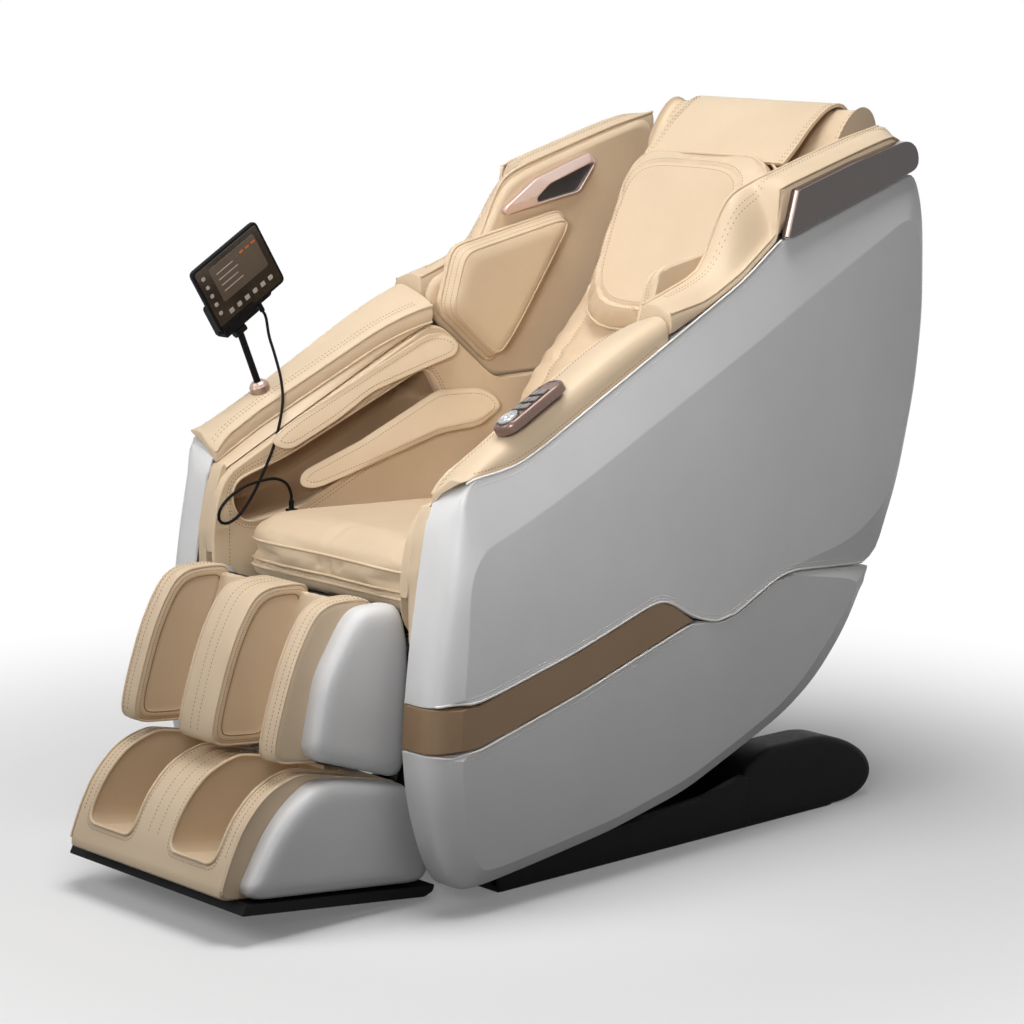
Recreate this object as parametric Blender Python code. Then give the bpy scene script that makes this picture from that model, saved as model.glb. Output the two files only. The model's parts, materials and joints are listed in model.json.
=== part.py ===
"""Massage chair: capsule body on a tilting base, with a lifting calf rest, a sliding foot rest,
a roller carriage behind the back cushion, an arm tablet on a stalk and a key pod.

Metres, +Z up, the sitter faces -Y and the sitter's left is +X.
Y is measured from the front of the arms, and the root empty then centres the chair on its length."""
import math

import bmesh
import bpy
from mathutils import Matrix, Vector

# Overall length: foot rest front and shell rear, from the arm front
FOOT_FRONT = -0.360
SHELL_REAR = 1.050
FIT = 0.0003            # gap between pieces that touch
RUN = 0.0005            # running clearance of pins and shafts

# Widths, as half widths from the middle plane
SEAT_HALF = 0.235       # seat and back cushions
SIDE_CLEAR = 0.003      # cushion to side lining
LINING_T = 0.018        # side lining thickness
RAIL_CLEAR = 0.0025     # frame plate to its neighbours
RAIL_T = 0.019          # frame side plate thickness
SHELL_RIM = 0.067       # shell front face width
SHELL_BULGE = 0.018     # outer face stands this far beyond the shell edge
SHELL_WALL = 0.004
LINING_IN = SEAT_HALF + SIDE_CLEAR
LINING_OUT = LINING_IN + LINING_T
RAIL_IN = LINING_OUT + RAIL_CLEAR
RAIL_OUT = RAIL_IN + RAIL_T
SHELL_IN = RAIL_OUT + RAIL_CLEAR
SHELL_EDGE = SHELL_IN + SHELL_RIM
SHELL_OUT = SHELL_EDGE + SHELL_BULGE

# Arm top: a plane that climbs to the rear and dips towards the sitter
ARM_FRONT_Z = 0.697
ARM_RISE = 0.5255
ARM_DIP = 0.25
ARM_PAD_EDGE = 0.036    # thickness of the pad's inner edge
ARM_PAD_REAR = 0.445
ARM_PAD_IN_FRONT = 0.285
ARM_PAD_TAPER = 0.113   # inner edge moves in by this much per metre
ARM_CROWN = 0.003
FLAP_INSET = 0.006      # deepest draw of an airbag flap's face
SHOULDER_INSET = 0.018  # and of a shoulder pad's
SEAM_FRONT_Z = 0.690    # top edge of the white shell
SEAM_RISE = 0.466
WING_FRONT = 0.697      # where the wing trim starts
WING_T = 0.018
WING_IN = SHELL_IN - WING_T     # inner face of the wing pad
TRIM_T = 0.020

# Tilt of the whole capsule on the base
PIVOT = (0.42, 0.160)
SHAFT_R = 0.012
RECLINE = math.radians(25)
YOKE_H = 0.100          # recline pin below the shaft
YOKE_PIN_R = 0.006

# Calf rest hinge and its drive
KNEE = (0.02, 0.505)
KNEE_PIN_R = 0.008
LIFT = math.radians(60)
LIFT_H = 0.130          # lift pin below the knee
POCKET_SKIN = 0.004     # lining left over the hinge ear
LIFT_SLOT = 0.020       # slot width in the lift lever
ROD_R = 0.008
ACTUATOR_R = 0.022

# Calf and foot rests
LEG_CLEAR = 0.0005      # calf rest side to the side lining
LEG_HALF = LINING_IN - LEG_CLEAR
LEG_SHELL_T = 0.0365
CALF_PAD_T = 0.040
CALF_RIB_HALF = 0.045
LEG_LEAN = math.radians(17)
RAIL_X = 0.130          # foot slide rods, from the middle
SLIDE_R = 0.007
FOOT_TRAVEL = 0.120     # how far the foot rest slides out
SOLE_T = 0.018

# Back
BACK_FOOT = (0.600, 0.640)
BACK_LEAN = math.radians(36)
BACK_LEN = 0.650
BACK_T = 0.075
BACK_LOW = -0.085       # lower end of the cushion, along the back
PILLOW_UP = 0.208       # lower end of the head pillow, along the back
PILLOW_TILT = math.radians(6)
PILLOW_HALF = 0.184
PILLOW_H = 0.362
PILLOW_T = 0.046
PILLOW_EDGE = 0.016
FLAP_T = 0.010
FLAP_HALF = 0.172
COVER_T = 0.008
TRACK_X = 0.145
TRACK_W = 0.020
TRACK_FRONT = BACK_T + FIT
TRACK_REAR = 0.140
TRACK_LEN = 0.519
CARRIAGE_T = 0.018
CARRIAGE_LEN = 0.160
ROLLER_R = 0.027
ROLLER_W = 0.015
ROLLER_X = 0.080
ROLLER_DEPTH = 0.105

# Seat
SEAT_FRONT = 0.0
SEAT_REAR = 0.555
SEAT_BOTTOM = 0.457
SEAT_DROP = 0.05        # seat falls to the rear by this much per metre
SEAT_RIM_H = 0.090
SEAT_CROWN = 0.026

# Base
BASE_CLEAR = 0.006
BASE_HALF = SHELL_IN - BASE_CLEAR
BASE_FRONT = 0.137
PAN_T = 0.030
LOBE_W = 0.079

# Tablet on its stalk
STALK_FOOT = (-0.306, 0.120)
STALK_R = 0.0058
STALK_LEN = 0.096
STALK_LEAN = math.radians(22)
DOME_R = 0.017
DOME_H = 0.015
TABLET_W = 0.157
TABLET_H = 0.122
TABLET_T = 0.012
CRADLE_STEP = 0.001     # the grip and its lip stand this far inside the cradle's plate
TABLET_TURN = math.radians(31)
TABLET_MID = (0.075, 0.945)
CABLE_R = 0.0025

# Key pod on the other arm
POD_LEN = 0.140
POD_W = 0.055
POD_H = 0.016
POD_X = 0.325
POD_Y = 0.165
KEY_W = 0.038
KEY_D = 0.015
KEY_PITCH = 0.020
KEY_H = 0.004
DIAL_R = 0.018
DIAL_TRAVEL = 0.002

SHIFT_Y = -(FOOT_FRONT + SHELL_REAR) / 2

COLOURS = {
    "beige_leather": ((0.62, 0.42, 0.25, 1), 0.5, 0.0),
    "white_leather": ((0.75, 0.75, 0.74, 1), 0.45, 0.0),
    "brown_stripe": ((0.22, 0.14, 0.08, 1), 0.5, 0.0),
    "brown_gloss": ((0.07, 0.045, 0.04, 1), 0.2, 0.0),
    "rose_metal": ((0.48, 0.38, 0.33, 1), 0.3, 0.8),
    "black_plastic": ((0.012, 0.012, 0.013, 1), 0.4, 0.0),
    "frame_steel": ((0.05, 0.05, 0.055, 1), 0.45, 0.6),
    "bright_steel": ((0.6, 0.6, 0.6, 1), 0.25, 1.0),
    "screen_glass": ((0.02, 0.015, 0.012, 1), 0.08, 0.0),
    "roller_rubber": ((0.1, 0.1, 0.11, 1), 0.6, 0.0),
}

# Frame directions in the YZ plane
BACK_UP = Vector((0, math.sin(BACK_LEAN), math.cos(BACK_LEAN)))
BACK_IN = Vector((0, math.cos(BACK_LEAN), -math.sin(BACK_LEAN)))
LEG_UP = Vector((0, math.sin(LEG_LEAN), math.cos(LEG_LEAN)))


def back_point(along, depth, x=0.0):
    """A point on the back: along its length, and behind its front face."""
    foot = Vector((x, BACK_FOOT[0], BACK_FOOT[1]))
    return foot + BACK_UP * along + BACK_IN * depth


def arm_z(y, x):
    return ARM_FRONT_Z + ARM_RISE * y - ARM_DIP * (SHELL_EDGE - abs(x))


def seam_z(y):
    return SEAM_FRONT_Z + SEAM_RISE * y


STALK_BASE = Vector((STALK_FOOT[0], STALK_FOOT[1], arm_z(STALK_FOOT[1], STALK_FOOT[0]) + ARM_CROWN + FIT))
STALK_DIR = Vector((0, -math.sin(STALK_LEAN), math.cos(STALK_LEAN)))
STALK_TOP = STALK_BASE + STALK_DIR * (DOME_H + STALK_LEN)
CARRIAGE_MID = back_point(0.11, ROLLER_DEPTH)

# Pod frame on the arm plane: along the arm, across it and up from it
POD_ALONG = Vector((0, 1, ARM_RISE)).normalized()
POD_UP = Vector((-ARM_DIP, -ARM_RISE, 1)).normalized()
POD_ACROSS = POD_ALONG.cross(POD_UP)
POD_SEAT = Vector((POD_X, POD_Y, arm_z(POD_Y, POD_X))) + POD_UP * (ARM_CROWN + FIT)


def pod_point(along, across, up):
    return POD_SEAT + POD_ALONG * along + POD_ACROSS * across + POD_UP * up


DIAL_AT = -POD_LEN / 2 + POD_W / 2
KEY_FIRST = DIAL_AT + DIAL_R + 0.014
KEYS = ("front_key", "middle_key", "rear_key")

# Bodies: the parent body and a point on the joint axis
BODIES = {
    "base": (None, Vector((0, 0, 0))),
    "chassis": ("base", Vector((0, *PIVOT))),
    "leg": ("chassis", Vector((0, *KNEE))),
    "foot": ("leg", Vector((0, -0.052, 0.235))),
    "carriage": ("chassis", CARRIAGE_MID),
    "left_rollers": ("carriage", CARRIAGE_MID + Vector((ROLLER_X, 0, 0))),
    "right_rollers": ("carriage", CARRIAGE_MID - Vector((ROLLER_X, 0, 0))),
    "recline_rod": ("base", Vector((0, PIVOT[0] + YOKE_H * math.tan(RECLINE / 2), PIVOT[1] - YOKE_H))),
    "leg_rod": ("chassis", Vector((0, KNEE[0] + LIFT_H * math.tan(LIFT / 2), KNEE[1] - LIFT_H))),
    "stalk": ("chassis", STALK_BASE),
    "tablet": ("stalk", STALK_TOP),
    "dial": ("chassis", pod_point(DIAL_AT, 0, POD_H)),
}
for row, key in enumerate(KEYS):
    BODIES[key] = ("chassis", pod_point(KEY_FIRST + row * KEY_PITCH, 0, POD_H))

for old in list(bpy.data.objects):
    bpy.data.objects.remove(old, do_unlink=True)

materials = {}
for slot, (colour, rough, metal) in COLOURS.items():
    made = bpy.data.materials.new(slot)
    made.use_nodes = True
    shader = made.node_tree.nodes["Principled BSDF"]
    shader.inputs["Base Color"].default_value = colour
    shader.inputs["Roughness"].default_value = rough
    shader.inputs["Metallic"].default_value = metal
    materials[slot] = made

scene_objects = bpy.context.scene.collection.objects
empties = {}
root = bpy.data.objects.new("chair", None)
root.location = (0, SHIFT_Y, 0)
scene_objects.link(root)
for body, (parent, point) in BODIES.items():
    empty = bpy.data.objects.new(body + "_axis", None)
    empty.parent = empties[parent] if parent else root
    empty.location = point - (BODIES[parent][1] if parent else Vector((0, 0, 0)))
    scene_objects.link(empty)
    empties[body] = empty


def node(name, bm, body, slot, smooth=True):
    """Makes a mesh in chair coordinates into an object that hangs on its body's axis."""
    bmesh.ops.remove_doubles(bm, verts=bm.verts, dist=1e-6)
    bmesh.ops.recalc_face_normals(bm, faces=bm.faces)
    mesh = bpy.data.meshes.new(name)
    bm.to_mesh(mesh)
    bm.free()
    mesh.materials.append(materials[slot])
    if smooth:
        mesh.shade_smooth()
        mesh.set_sharp_from_angle(angle=math.radians(35))
    piece = bpy.data.objects.new(name, mesh)
    piece.parent = empties[body]
    piece.location = -BODIES[body][1]
    scene_objects.link(piece)
    return piece


def tool(piece, bm, operation):
    """Joins a helper shape to a piece, or cuts it out."""
    body = next(name for name, empty in empties.items() if empty == piece.parent)
    helper = node(piece.name + "_tool", bm, body, piece.data.materials[0].name, False)
    helper.hide_render = True
    helper.display_type = "WIRE"
    step = piece.modifiers.new(operation.lower(), "BOOLEAN")
    step.operation = operation
    step.solver = "EXACT"
    step.object = helper


def join(piece, *shapes):
    for shape in shapes:
        tool(piece, shape, "UNION")


def cut(piece, *shapes):
    for shape in shapes:
        tool(piece, shape, "DIFFERENCE")


def loft(loops):
    """A closed solid through loops of equal length, capped at both ends."""
    bm = bmesh.new()
    rings = [[bm.verts.new(point) for point in loop] for loop in loops]
    for low, high in zip(rings, rings[1:]):
        for i in range(len(low)):
            j = (i + 1) % len(low)
            bm.faces.new((low[i], low[j], high[j], high[i]))
    bm.faces.new(reversed(rings[0]))
    bm.faces.new(rings[-1])
    return bm


def prism(outline, x0, x1):
    """A side outline of (y, z) points, drawn out across the chair."""
    return loft([[Vector((x, y, z)) for y, z in outline] for x in (x0, x1)])


def box(low, high):
    outline = [(low[1], low[2]), (high[1], low[2]), (high[1], high[2]), (low[1], high[2])]
    return prism(outline, low[0], high[0])


def strip(path, width):
    """Outline of a bar of even width along (y, z) points."""
    points = [Vector(point) for point in path]
    left = []
    right = []
    for i, point in enumerate(points):
        before = (point - points[i - 1]).normalized() if i else None
        after = (points[i + 1] - point).normalized() if i + 1 < len(points) else None
        along = ((before or after) + (after or before)).normalized()
        side = Vector((-along.y, along.x))
        reach = width / 2 / max(0.4, side.dot(Vector((-(after or before).y, (after or before).x))))
        left.append(point + side * reach)
        right.append(point - side * reach)
    return [tuple(point) for point in left + right[::-1]]


def rod(start, end, radius, sides=20):
    start = Vector(start)
    end = Vector(end)
    turn = (end - start).to_track_quat("Z", "Y").to_matrix()
    loops = []
    for foot in (start, end):
        angles = [2 * math.pi * i / sides for i in range(sides)]
        loops.append([foot + turn @ Vector((radius * math.cos(a), radius * math.sin(a), 0)) for a in angles])
    return loft(loops)


def cross_rod(point, x0, x1, radius, sides=20):
    return rod((x0, *point), (x1, *point), radius, sides)


def inset(outline, distance):
    """The outline moved in by a distance, for a counter-clockwise outline."""
    moved = []
    count = len(outline)
    for i in range(count):
        here = Vector(outline[i])
        before = (here - Vector(outline[i - 1])).normalized()
        after = (Vector(outline[(i + 1) % count]) - here).normalized()
        normal = Vector((-before.y - after.y, before.x + after.x)).normalized()
        share = max(0.5, normal.dot(Vector((-before.y, before.x))))
        moved.append(tuple(here + normal * (distance / share)))
    return moved


def rounded(u0, u1, v0, v1, radius, steps=4):
    """A counter-clockwise rectangle with round corners."""
    corners = ((u1, v0, -90), (u1, v1, 0), (u0, v1, 90), (u0, v0, 180))
    outline = []
    for u, v, first in corners:
        mid_u = u - math.copysign(radius, u - (u0 + u1) / 2)
        mid_v = v - math.copysign(radius, v - (v0 + v1) / 2)
        for i in range(steps + 1):
            angle = math.radians(first + 90 * i / steps)
            outline.append((mid_u + radius * math.cos(angle), mid_v + radius * math.sin(angle)))
    return outline


def shrunk(u0, u1, v0, v1, radius, steps=4):
    """The same round-cornered rectangle at any inset."""
    return lambda d: rounded(u0 + d, u1 - d, v0 + d, v1 - d, max(radius - d, 0.004), steps)


def drawn_in(outline, deepest):
    """An outline at any inset, up to the deepest that its shortest side can take."""
    return lambda d: inset(outline, min(d, deepest))


def cushion(outline_at, place, depth, edge, crown, groove=None):
    """A padded form: drawn-in sides, round edges and a crowned face, with a sewn groove if given."""
    rings = [(edge * 0.5, 0.0), (edge * 0.12, depth * 0.12), (0.0, depth * 0.35), (0.0, depth * 0.6)]
    rings += [(edge * 0.3, depth * 0.84), (edge, depth * 0.97)]
    if groove:
        rings += [(groove - 0.006, depth + crown * 0.35), (groove, depth + crown * 0.35 - 0.005)]
        rings += [(groove + 0.006, depth + crown * 0.5)]
    else:
        rings += [(edge * 2, depth + crown * 0.5)]
    last = rings[-1][0]
    rings += [(last + edge, depth + crown * 0.85), (last + edge * 2, depth + crown)]
    return loft([[place(u, v, h) for u, v in outline_at(d)] for d, h in rings])


def side_plane(side, face):
    """Places (y, z) outlines on a side wall, with padding that grows towards the sitter."""
    return lambda y, z, h: Vector((side * (face - h), y, z))


def base_parts():
    pan = box((-BASE_HALF, BASE_FRONT, 0), (BASE_HALF, 0.93, PAN_T))
    cover = node("base_cover", pan, "base", "black_plastic")
    lobe = [(0.70, 0.0), (0.965, 0.0), (1.010, 0.012), (1.033, 0.040), (1.018, 0.076), (0.975, 0.106)]
    lobe += [(0.905, 0.130), (0.753, 0.131), (0.70, 0.100)]
    skirt = [(BASE_FRONT, 0.0), (0.72, 0.0), (0.72, 0.095), (0.60, 0.070), (BASE_FRONT, 0.045)]
    for side in (1, -1):
        join(cover, prism(lobe, side * (BASE_HALF - LOBE_W), side * BASE_HALF))
        join(cover, prism(skirt, side * (BASE_HALF - RAIL_T), side * BASE_HALF))

    hump = [(0.60, PAN_T / 2), (0.875, PAN_T / 2), (0.875, 0.075), (0.84, 0.120), (0.745, 0.160),
            (0.62, 0.160)]
    join(cover, prism(hump, -0.15, 0.15))

    inner = RAIL_IN - 0.0335
    outer = inner + 0.020
    ear = [(PIVOT[0] - 0.08, PAN_T + FIT), (PIVOT[0] + 0.08, PAN_T + FIT)]
    ear += [(PIVOT[0] + 0.03, PIVOT[1] + 0.03), (PIVOT[0] - 0.03, PIVOT[1] + 0.03)]
    shaft = cross_rod(PIVOT, -RAIL_OUT + FIT, RAIL_OUT - FIT, SHAFT_R)
    frame = node("base_frame", shaft, "base", "frame_steel")
    join(frame, prism(ear, inner, outer), prism(ear, -outer, -inner))

    z = PIVOT[1] - YOKE_H
    motor = node("recline_actuator", rod((0, 0.15, z), (0, 0.355, z), ACTUATOR_R), "base", "black_plastic")
    join(motor, box((-0.018, 0.17, PAN_T + FIT), (0.018, 0.24, z)))
    cut(motor, rod((0, 0.235, z), (0, 0.40, z), ROD_R + RUN))
    pin_rod("recline_rod", 1, 0.29, YOKE_PIN_R, 0.012)


def pin_rod(body, toward, inner_end, pin_r, reach):
    """A drive rod with a forked end and a cross pin; toward is +1 where the pin lies at larger y."""
    pin = BODIES[body][1]
    back = pin.y - toward * (reach + 0.018)
    piece = node(body, rod((0, inner_end, pin.z), (0, back, pin.z), ROD_R), body, "bright_steel")
    ends = sorted((back - toward * 0.008, pin.y + toward * 0.011))
    gap = sorted((back + toward * 0.002, pin.y + toward * 0.02))
    join(piece, box((-0.015, ends[0], pin.z - 0.010), (0.015, ends[1], pin.z + 0.010)))
    cut(piece, box((-0.0065, gap[0], pin.z - 0.02), (0.0065, gap[1], pin.z + 0.02)))
    join(piece, cross_rod((pin.y, pin.z), -0.0155, 0.0155, pin_r, 16))


# Where the frame's side plates carry the shells, across their seams, and the side linings
SHELL_BOSSES = ((0.150, 0.378), (0.270, 0.343), (0.674, 0.449))
BOSS_R = 0.014
LINING_TABS = (((0.120, 0.385), (0.135, 0.445)), ((0.720, 0.530), (0.660, 0.530)))
TAB_W = 0.030
TOP_TUBE = (0.984, 1.002)
COVER_PATH = [(0.885, 0.388), (0.930, 0.470), (0.980, 0.600), (1.014, 0.740), (1.030, 0.870),
              (1.026, 1.020),
              (1.019, 1.056)]


def cover_y(z):
    """Middle of the back cover's sheet at a height."""
    after = next(i for i in range(1, len(COVER_PATH)) if z <= COVER_PATH[i][1])
    (y0, z0), (y1, z1) = COVER_PATH[after - 1], COVER_PATH[after]
    return y0 + (y1 - y0) * (z - z0) / (z1 - z0)


def seat_frame():
    """Side plates, cross tubes, seat pan, the carriage's guide rails and the recline lever."""
    plate_path = [(KNEE[0] - 0.006, KNEE[1] + 0.022), KNEE, (0.07, 0.400), (0.42, 0.300), (0.63, 0.370)]
    plate = strip(plate_path + [(0.990, 1.014)], 0.045)
    lever = strip([(0.42, 0.32), (PIVOT[0], PIVOT[1] - 0.026)], 0.052)
    frame = node("seat_frame", prism(plate, RAIL_IN, RAIL_OUT), "chassis", "frame_steel")
    join(frame, prism(plate, -RAIL_OUT, -RAIL_IN))
    for side in (1, -1):
        join(frame, prism(lever, side * RAIL_IN, side * RAIL_OUT))
        for boss in SHELL_BOSSES:
            join(frame, cross_rod(boss, side * (RAIL_OUT - 0.004), side * (SHELL_IN - FIT), BOSS_R))
        for foot, end in LINING_TABS:
            tab = strip([foot, end], TAB_W)
            join(frame, prism(tab, side * (LINING_OUT + FIT), side * (RAIL_OUT - 0.004)))
    for tube in ((0.16, 0.405), (0.42, 0.300), (0.63, 0.370), (0.685, 0.510), TOP_TUBE):
        join(frame, cross_rod(tube, -RAIL_IN - 0.004, RAIL_IN + 0.004, 0.010))
    lug_end = cover_y(TOP_TUBE[1]) - COVER_T / 2 - FIT * 2
    for x in (-0.12, 0.12):
        lug = [(x - 0.015, TOP_TUBE[0], TOP_TUBE[1] - 0.007), (x + 0.015, lug_end, TOP_TUBE[1] + 0.007)]
        join(frame, box(*lug))
    top = [(0.06, SEAT_BOTTOM - SEAT_DROP * 0.06 - FIT), (0.54, SEAT_BOTTOM - SEAT_DROP * 0.54 - FIT)]
    pan = [(0.06, top[0][1] - 0.006), (0.54, top[1][1] - 0.006), top[1], top[0]]
    join(frame, prism(pan, -SEAT_HALF, SEAT_HALF))
    rib = [(0.08, 0.448), (0.16, 0.400), (0.42, 0.297), (0.63, 0.367), (0.53, 0.427)]
    for side in (1, -1):
        join(frame, prism(rib, side * 0.095, side * 0.105))
        rail_x = (side * TRACK_X, side * (TRACK_X + TRACK_W))
        join(frame, back_bar(*rail_x, -0.06, TRACK_LEN, TRACK_FRONT, TRACK_REAR))
    turn = Vector((math.sin(RECLINE / 2), -math.cos(RECLINE / 2)))
    drive = strip([(0.42, 0.30), PIVOT, tuple(Vector(PIVOT) + turn * 0.116)], 0.034)
    join(frame, prism(drive, -0.005, 0.005))
    cut(frame, cross_rod(PIVOT, -0.3, 0.3, SHAFT_R + RUN, 24))
    cut(frame, cross_rod(KNEE, -0.3, 0.3, KNEE_PIN_R + RUN, 24))
    slot = strip([tuple(Vector(PIVOT) + turn * reach) for reach in (0.092, 0.110)], 2 * YOKE_PIN_R + 0.0012)
    cut(frame, prism(slot, -0.01, 0.01))


def back_bar(x0, x1, along0, along1, depth0, depth1):
    """A block set square to the back."""
    corners = ((along0, depth0), (along0, depth1), (along1, depth1), (along1, depth0))
    return prism([back_point(along, depth).yz for along, depth in corners], x0, x1)


def roller_carriage():
    """The carriage that climbs the guide rails, and its two pairs of kneading rollers."""
    along = (CARRIAGE_MID - back_point(0, ROLLER_DEPTH)).dot(BACK_UP)
    low = along - CARRIAGE_LEN / 2
    high = along + CARRIAGE_LEN / 2
    plate_x = TRACK_X - FIT
    front = ROLLER_DEPTH + ROLLER_R + 0.004
    plate = back_bar(-plate_x, plate_x, low, high, front, front + CARRIAGE_T)
    carriage = node("massage_carriage", plate, "carriage", "black_plastic")
    shaft = (CARRIAGE_MID.y, CARRIAGE_MID.z)
    for side in (1, -1):
        x = side * ROLLER_X
        arm_span = (along - 0.02, along + 0.02, ROLLER_DEPTH - 0.014, front + CARRIAGE_T / 2)
        arm = back_bar(x - 0.007, x + 0.007, *arm_span)
        join(carriage, arm)
    cut(carriage, cross_rod(shaft, -0.2, 0.2, 0.007 + RUN, 24))
    for side, name in ((1, "left_rollers"), (-1, "right_rollers")):
        x = side * ROLLER_X
        inner = 0.007 + 2 * RUN
        axle = cross_rod(shaft, x - inner - ROLLER_W, x + inner + ROLLER_W, 0.007)
        pair = node(name, axle, name, "roller_rubber")
        for way in (1, -1):
            join(pair, cross_rod(shaft, x + way * inner, x + way * (inner + ROLLER_W - 0.001), ROLLER_R, 24))


def shell_tray(outline, crease):
    """A hollow side panel: rim at the chair's side, edge, and a crease loop that bounds the outer face."""
    def rim(loop):
        return [(y, z - ARM_DIP * SHELL_RIM) if z > seam_z(y) - 0.045 else (y, z) for y, z in loop]

    wall = inset(outline, SHELL_WALL)
    face = inset(crease, SHELL_WALL)
    rows = [(SHELL_OUT - SHELL_WALL, face), (SHELL_EDGE - SHELL_WALL, wall), (SHELL_IN, rim(wall)),
            (SHELL_IN, rim(outline))]
    rows += [(SHELL_EDGE, outline), (SHELL_OUT, crease)]
    return rows


def side_shells():
    """Upper panel, dark stripe and lower panel of each side, and the gloss trim of the wing."""
    gap = 0.0004
    seam = [(0.020, 0.346), (0.230, 0.398), (0.405, 0.454), (0.440, 0.441), (0.486, 0.412),
            (0.556, 0.394), (0.700, 0.462)]
    rear = [(0.994, 0.583), (1.034, 0.740), (SHELL_REAR, 0.870), (1.046, 1.030), (1.032, 1.085),
            (1.012, 1.112)]
    top = [(0.850, seam_z(WING_FRONT) + 0.049), (WING_FRONT, seam_z(WING_FRONT)),
           (0.350, seam_z(0.350)), (0.0, SEAM_FRONT_Z)]
    front = [(-0.028, 0.560), (-0.050, 0.430), (-0.060, 0.346)]
    seam_end = (0.935, 0.432 + 0.012)
    outline = seam + [seam_end] + rear + top + front
    crease = [(0.035, 0.362), (0.235, 0.413), (0.405, 0.468), (0.452, 0.455), (0.497, 0.430),
              (0.556, 0.452), (0.700, 0.524)]
    crease += [(0.940, 0.640), (0.975, 0.680), (1.010, 0.770), (1.025, 0.870), (1.020, 0.990),
               (1.010, 1.030), (0.990, 1.040)]
    crease += [(0.830, 0.972), (0.680, 0.915), (0.350, 0.778), (0.060, 0.652)]
    crease += [(0.010, 0.560), (-0.012, 0.430), (-0.020, 0.365)]
    low_seam = [(-0.066, 0.274), (0.018, 0.275), (0.230, 0.330), (0.486, 0.4116 - 4 * gap)]
    stripe = low_seam + [(0.440, 0.441 - gap), (0.405, 0.454 - gap), (0.230, 0.398 - gap)]
    stripe += [(0.020, 0.346 - gap), (-0.060, 0.346 - gap)]
    stripe_face = [(-0.030, 0.283), (0.030, 0.285), (0.235, 0.340), (0.450, 0.410), (0.432, 0.431),
                   (0.403, 0.443)]
    stripe_face += [(0.232, 0.388), (0.033, 0.336), (-0.026, 0.336)]
    lower = [(-0.0655, 0.273), (-0.058, 0.190), (-0.032, 0.100), (-0.003, 0.047), (0.030, 0.042),
             (0.156, 0.056)]
    lower += [(0.330, 0.078), (0.502, 0.114), (0.667, 0.179), (0.740, 0.210), (0.813, 0.259),
              (0.880, 0.335)]
    lower += [(0.9295, 0.4310), (0.930, 0.4415), (0.700, 0.4615 - gap), (0.556, 0.394 - gap)]
    lower += [(0.487, 0.4105 - 2 * gap), (0.230, 0.3292), (0.018, 0.2742)]
    lower_face = [(-0.022, 0.262), (-0.016, 0.190), (0.000, 0.120), (0.020, 0.080), (0.050, 0.072),
                  (0.156, 0.084)]
    lower_face += [(0.330, 0.106), (0.495, 0.143), (0.650, 0.205), (0.715, 0.235), (0.775, 0.280),
                   (0.840, 0.350)]
    lower_face += [(0.880, 0.405), (0.870, 0.425), (0.700, 0.430), (0.556, 0.372)]
    lower_face += [(0.485, 0.390), (0.235, 0.316), (0.030, 0.263)]
    panels = (("outer_upper_panel", outline, crease, "white_leather"),
              ("outer_stripe", stripe, stripe_face, "brown_stripe"),
              ("outer_lower_panel", lower, lower_face, "white_leather"))
    trim = [(WING_FRONT, seam_z(WING_FRONT) + 0.003), (1.014, 1.1155), (1.004, 1.180), (0.860, 1.137),
            (0.719, 1.095)]
    for side, name in ((1, "left"), (-1, "right")):
        for label, edge, face, slot in panels:
            rows = shell_tray(edge, face)
            loops = [[Vector((side * x, y, z)) for y, z in row] for x, row in rows]
            node(f"{name}_{label}", loft(loops), "chassis", slot)
        trim_bar = prism(trim, side * (SHELL_OUT - TRIM_T), side * SHELL_OUT)
        node(f"{name}_wing_trim", trim_bar, "chassis", "brown_gloss")


def arm_pad(side):
    """The sloping arm top: thin over the shell's edge, thick where it hangs over the lining."""
    loops = []
    step_x = SHELL_IN - 0.0015
    for i in range(9):
        y = ARM_PAD_REAR * i / 8
        x_in = ARM_PAD_IN_FRONT - ARM_PAD_TAPER * y
        outer = SHELL_EDGE + SHELL_BULGE * 0.3
        mid = (x_in + outer) / 2
        inner_top = arm_z(y, x_in)
        hang_x = min(x_in, step_x - 0.004)
        section = [(hang_x, inner_top - ARM_PAD_EDGE), (hang_x - 0.003, inner_top - ARM_PAD_EDGE * 0.5)]
        section += [(hang_x, inner_top - 0.006),
                    (hang_x + 0.012, arm_z(y, hang_x + 0.012) + ARM_CROWN * 0.5)]
        foot = seam_z(y) + FIT * 2
        section += [(mid, arm_z(y, mid) + ARM_CROWN), (outer - 0.012, arm_z(y, outer - 0.012))]
        section += [(outer, max(arm_z(y, outer) - 0.005, foot + 0.003)), (outer, foot),
                    (SHELL_EDGE, foot)]
        section += [(step_x, foot - ARM_DIP * (SHELL_EDGE - step_x)), (step_x, inner_top - ARM_PAD_EDGE)]
        loops.append([Vector((side * x, y, z)) for x, z in section])
    return loft(loops)


def wing_pad(side):
    """Padded inner face of the wing, and the beige crown that shows above the shell and the trim."""
    face = [(0.4555, 0.800), (0.820, 0.800), (0.930, 1.000), (0.985, 1.085), (1.010, 1.114),
            (1.004, 1.150)]
    face += [(0.985, 1.176), (0.861, 1.134), (0.714, 1.080), (0.607, 1.009), (0.4555, 0.930)]
    return cushion(drawn_in(face, 0.012), lambda y, z, h: Vector((side * (SHELL_IN - 0.0005 - h), y, z)),
                   SHELL_IN - 0.0005 - WING_IN - 0.002, 0.006, 0.002)


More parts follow.
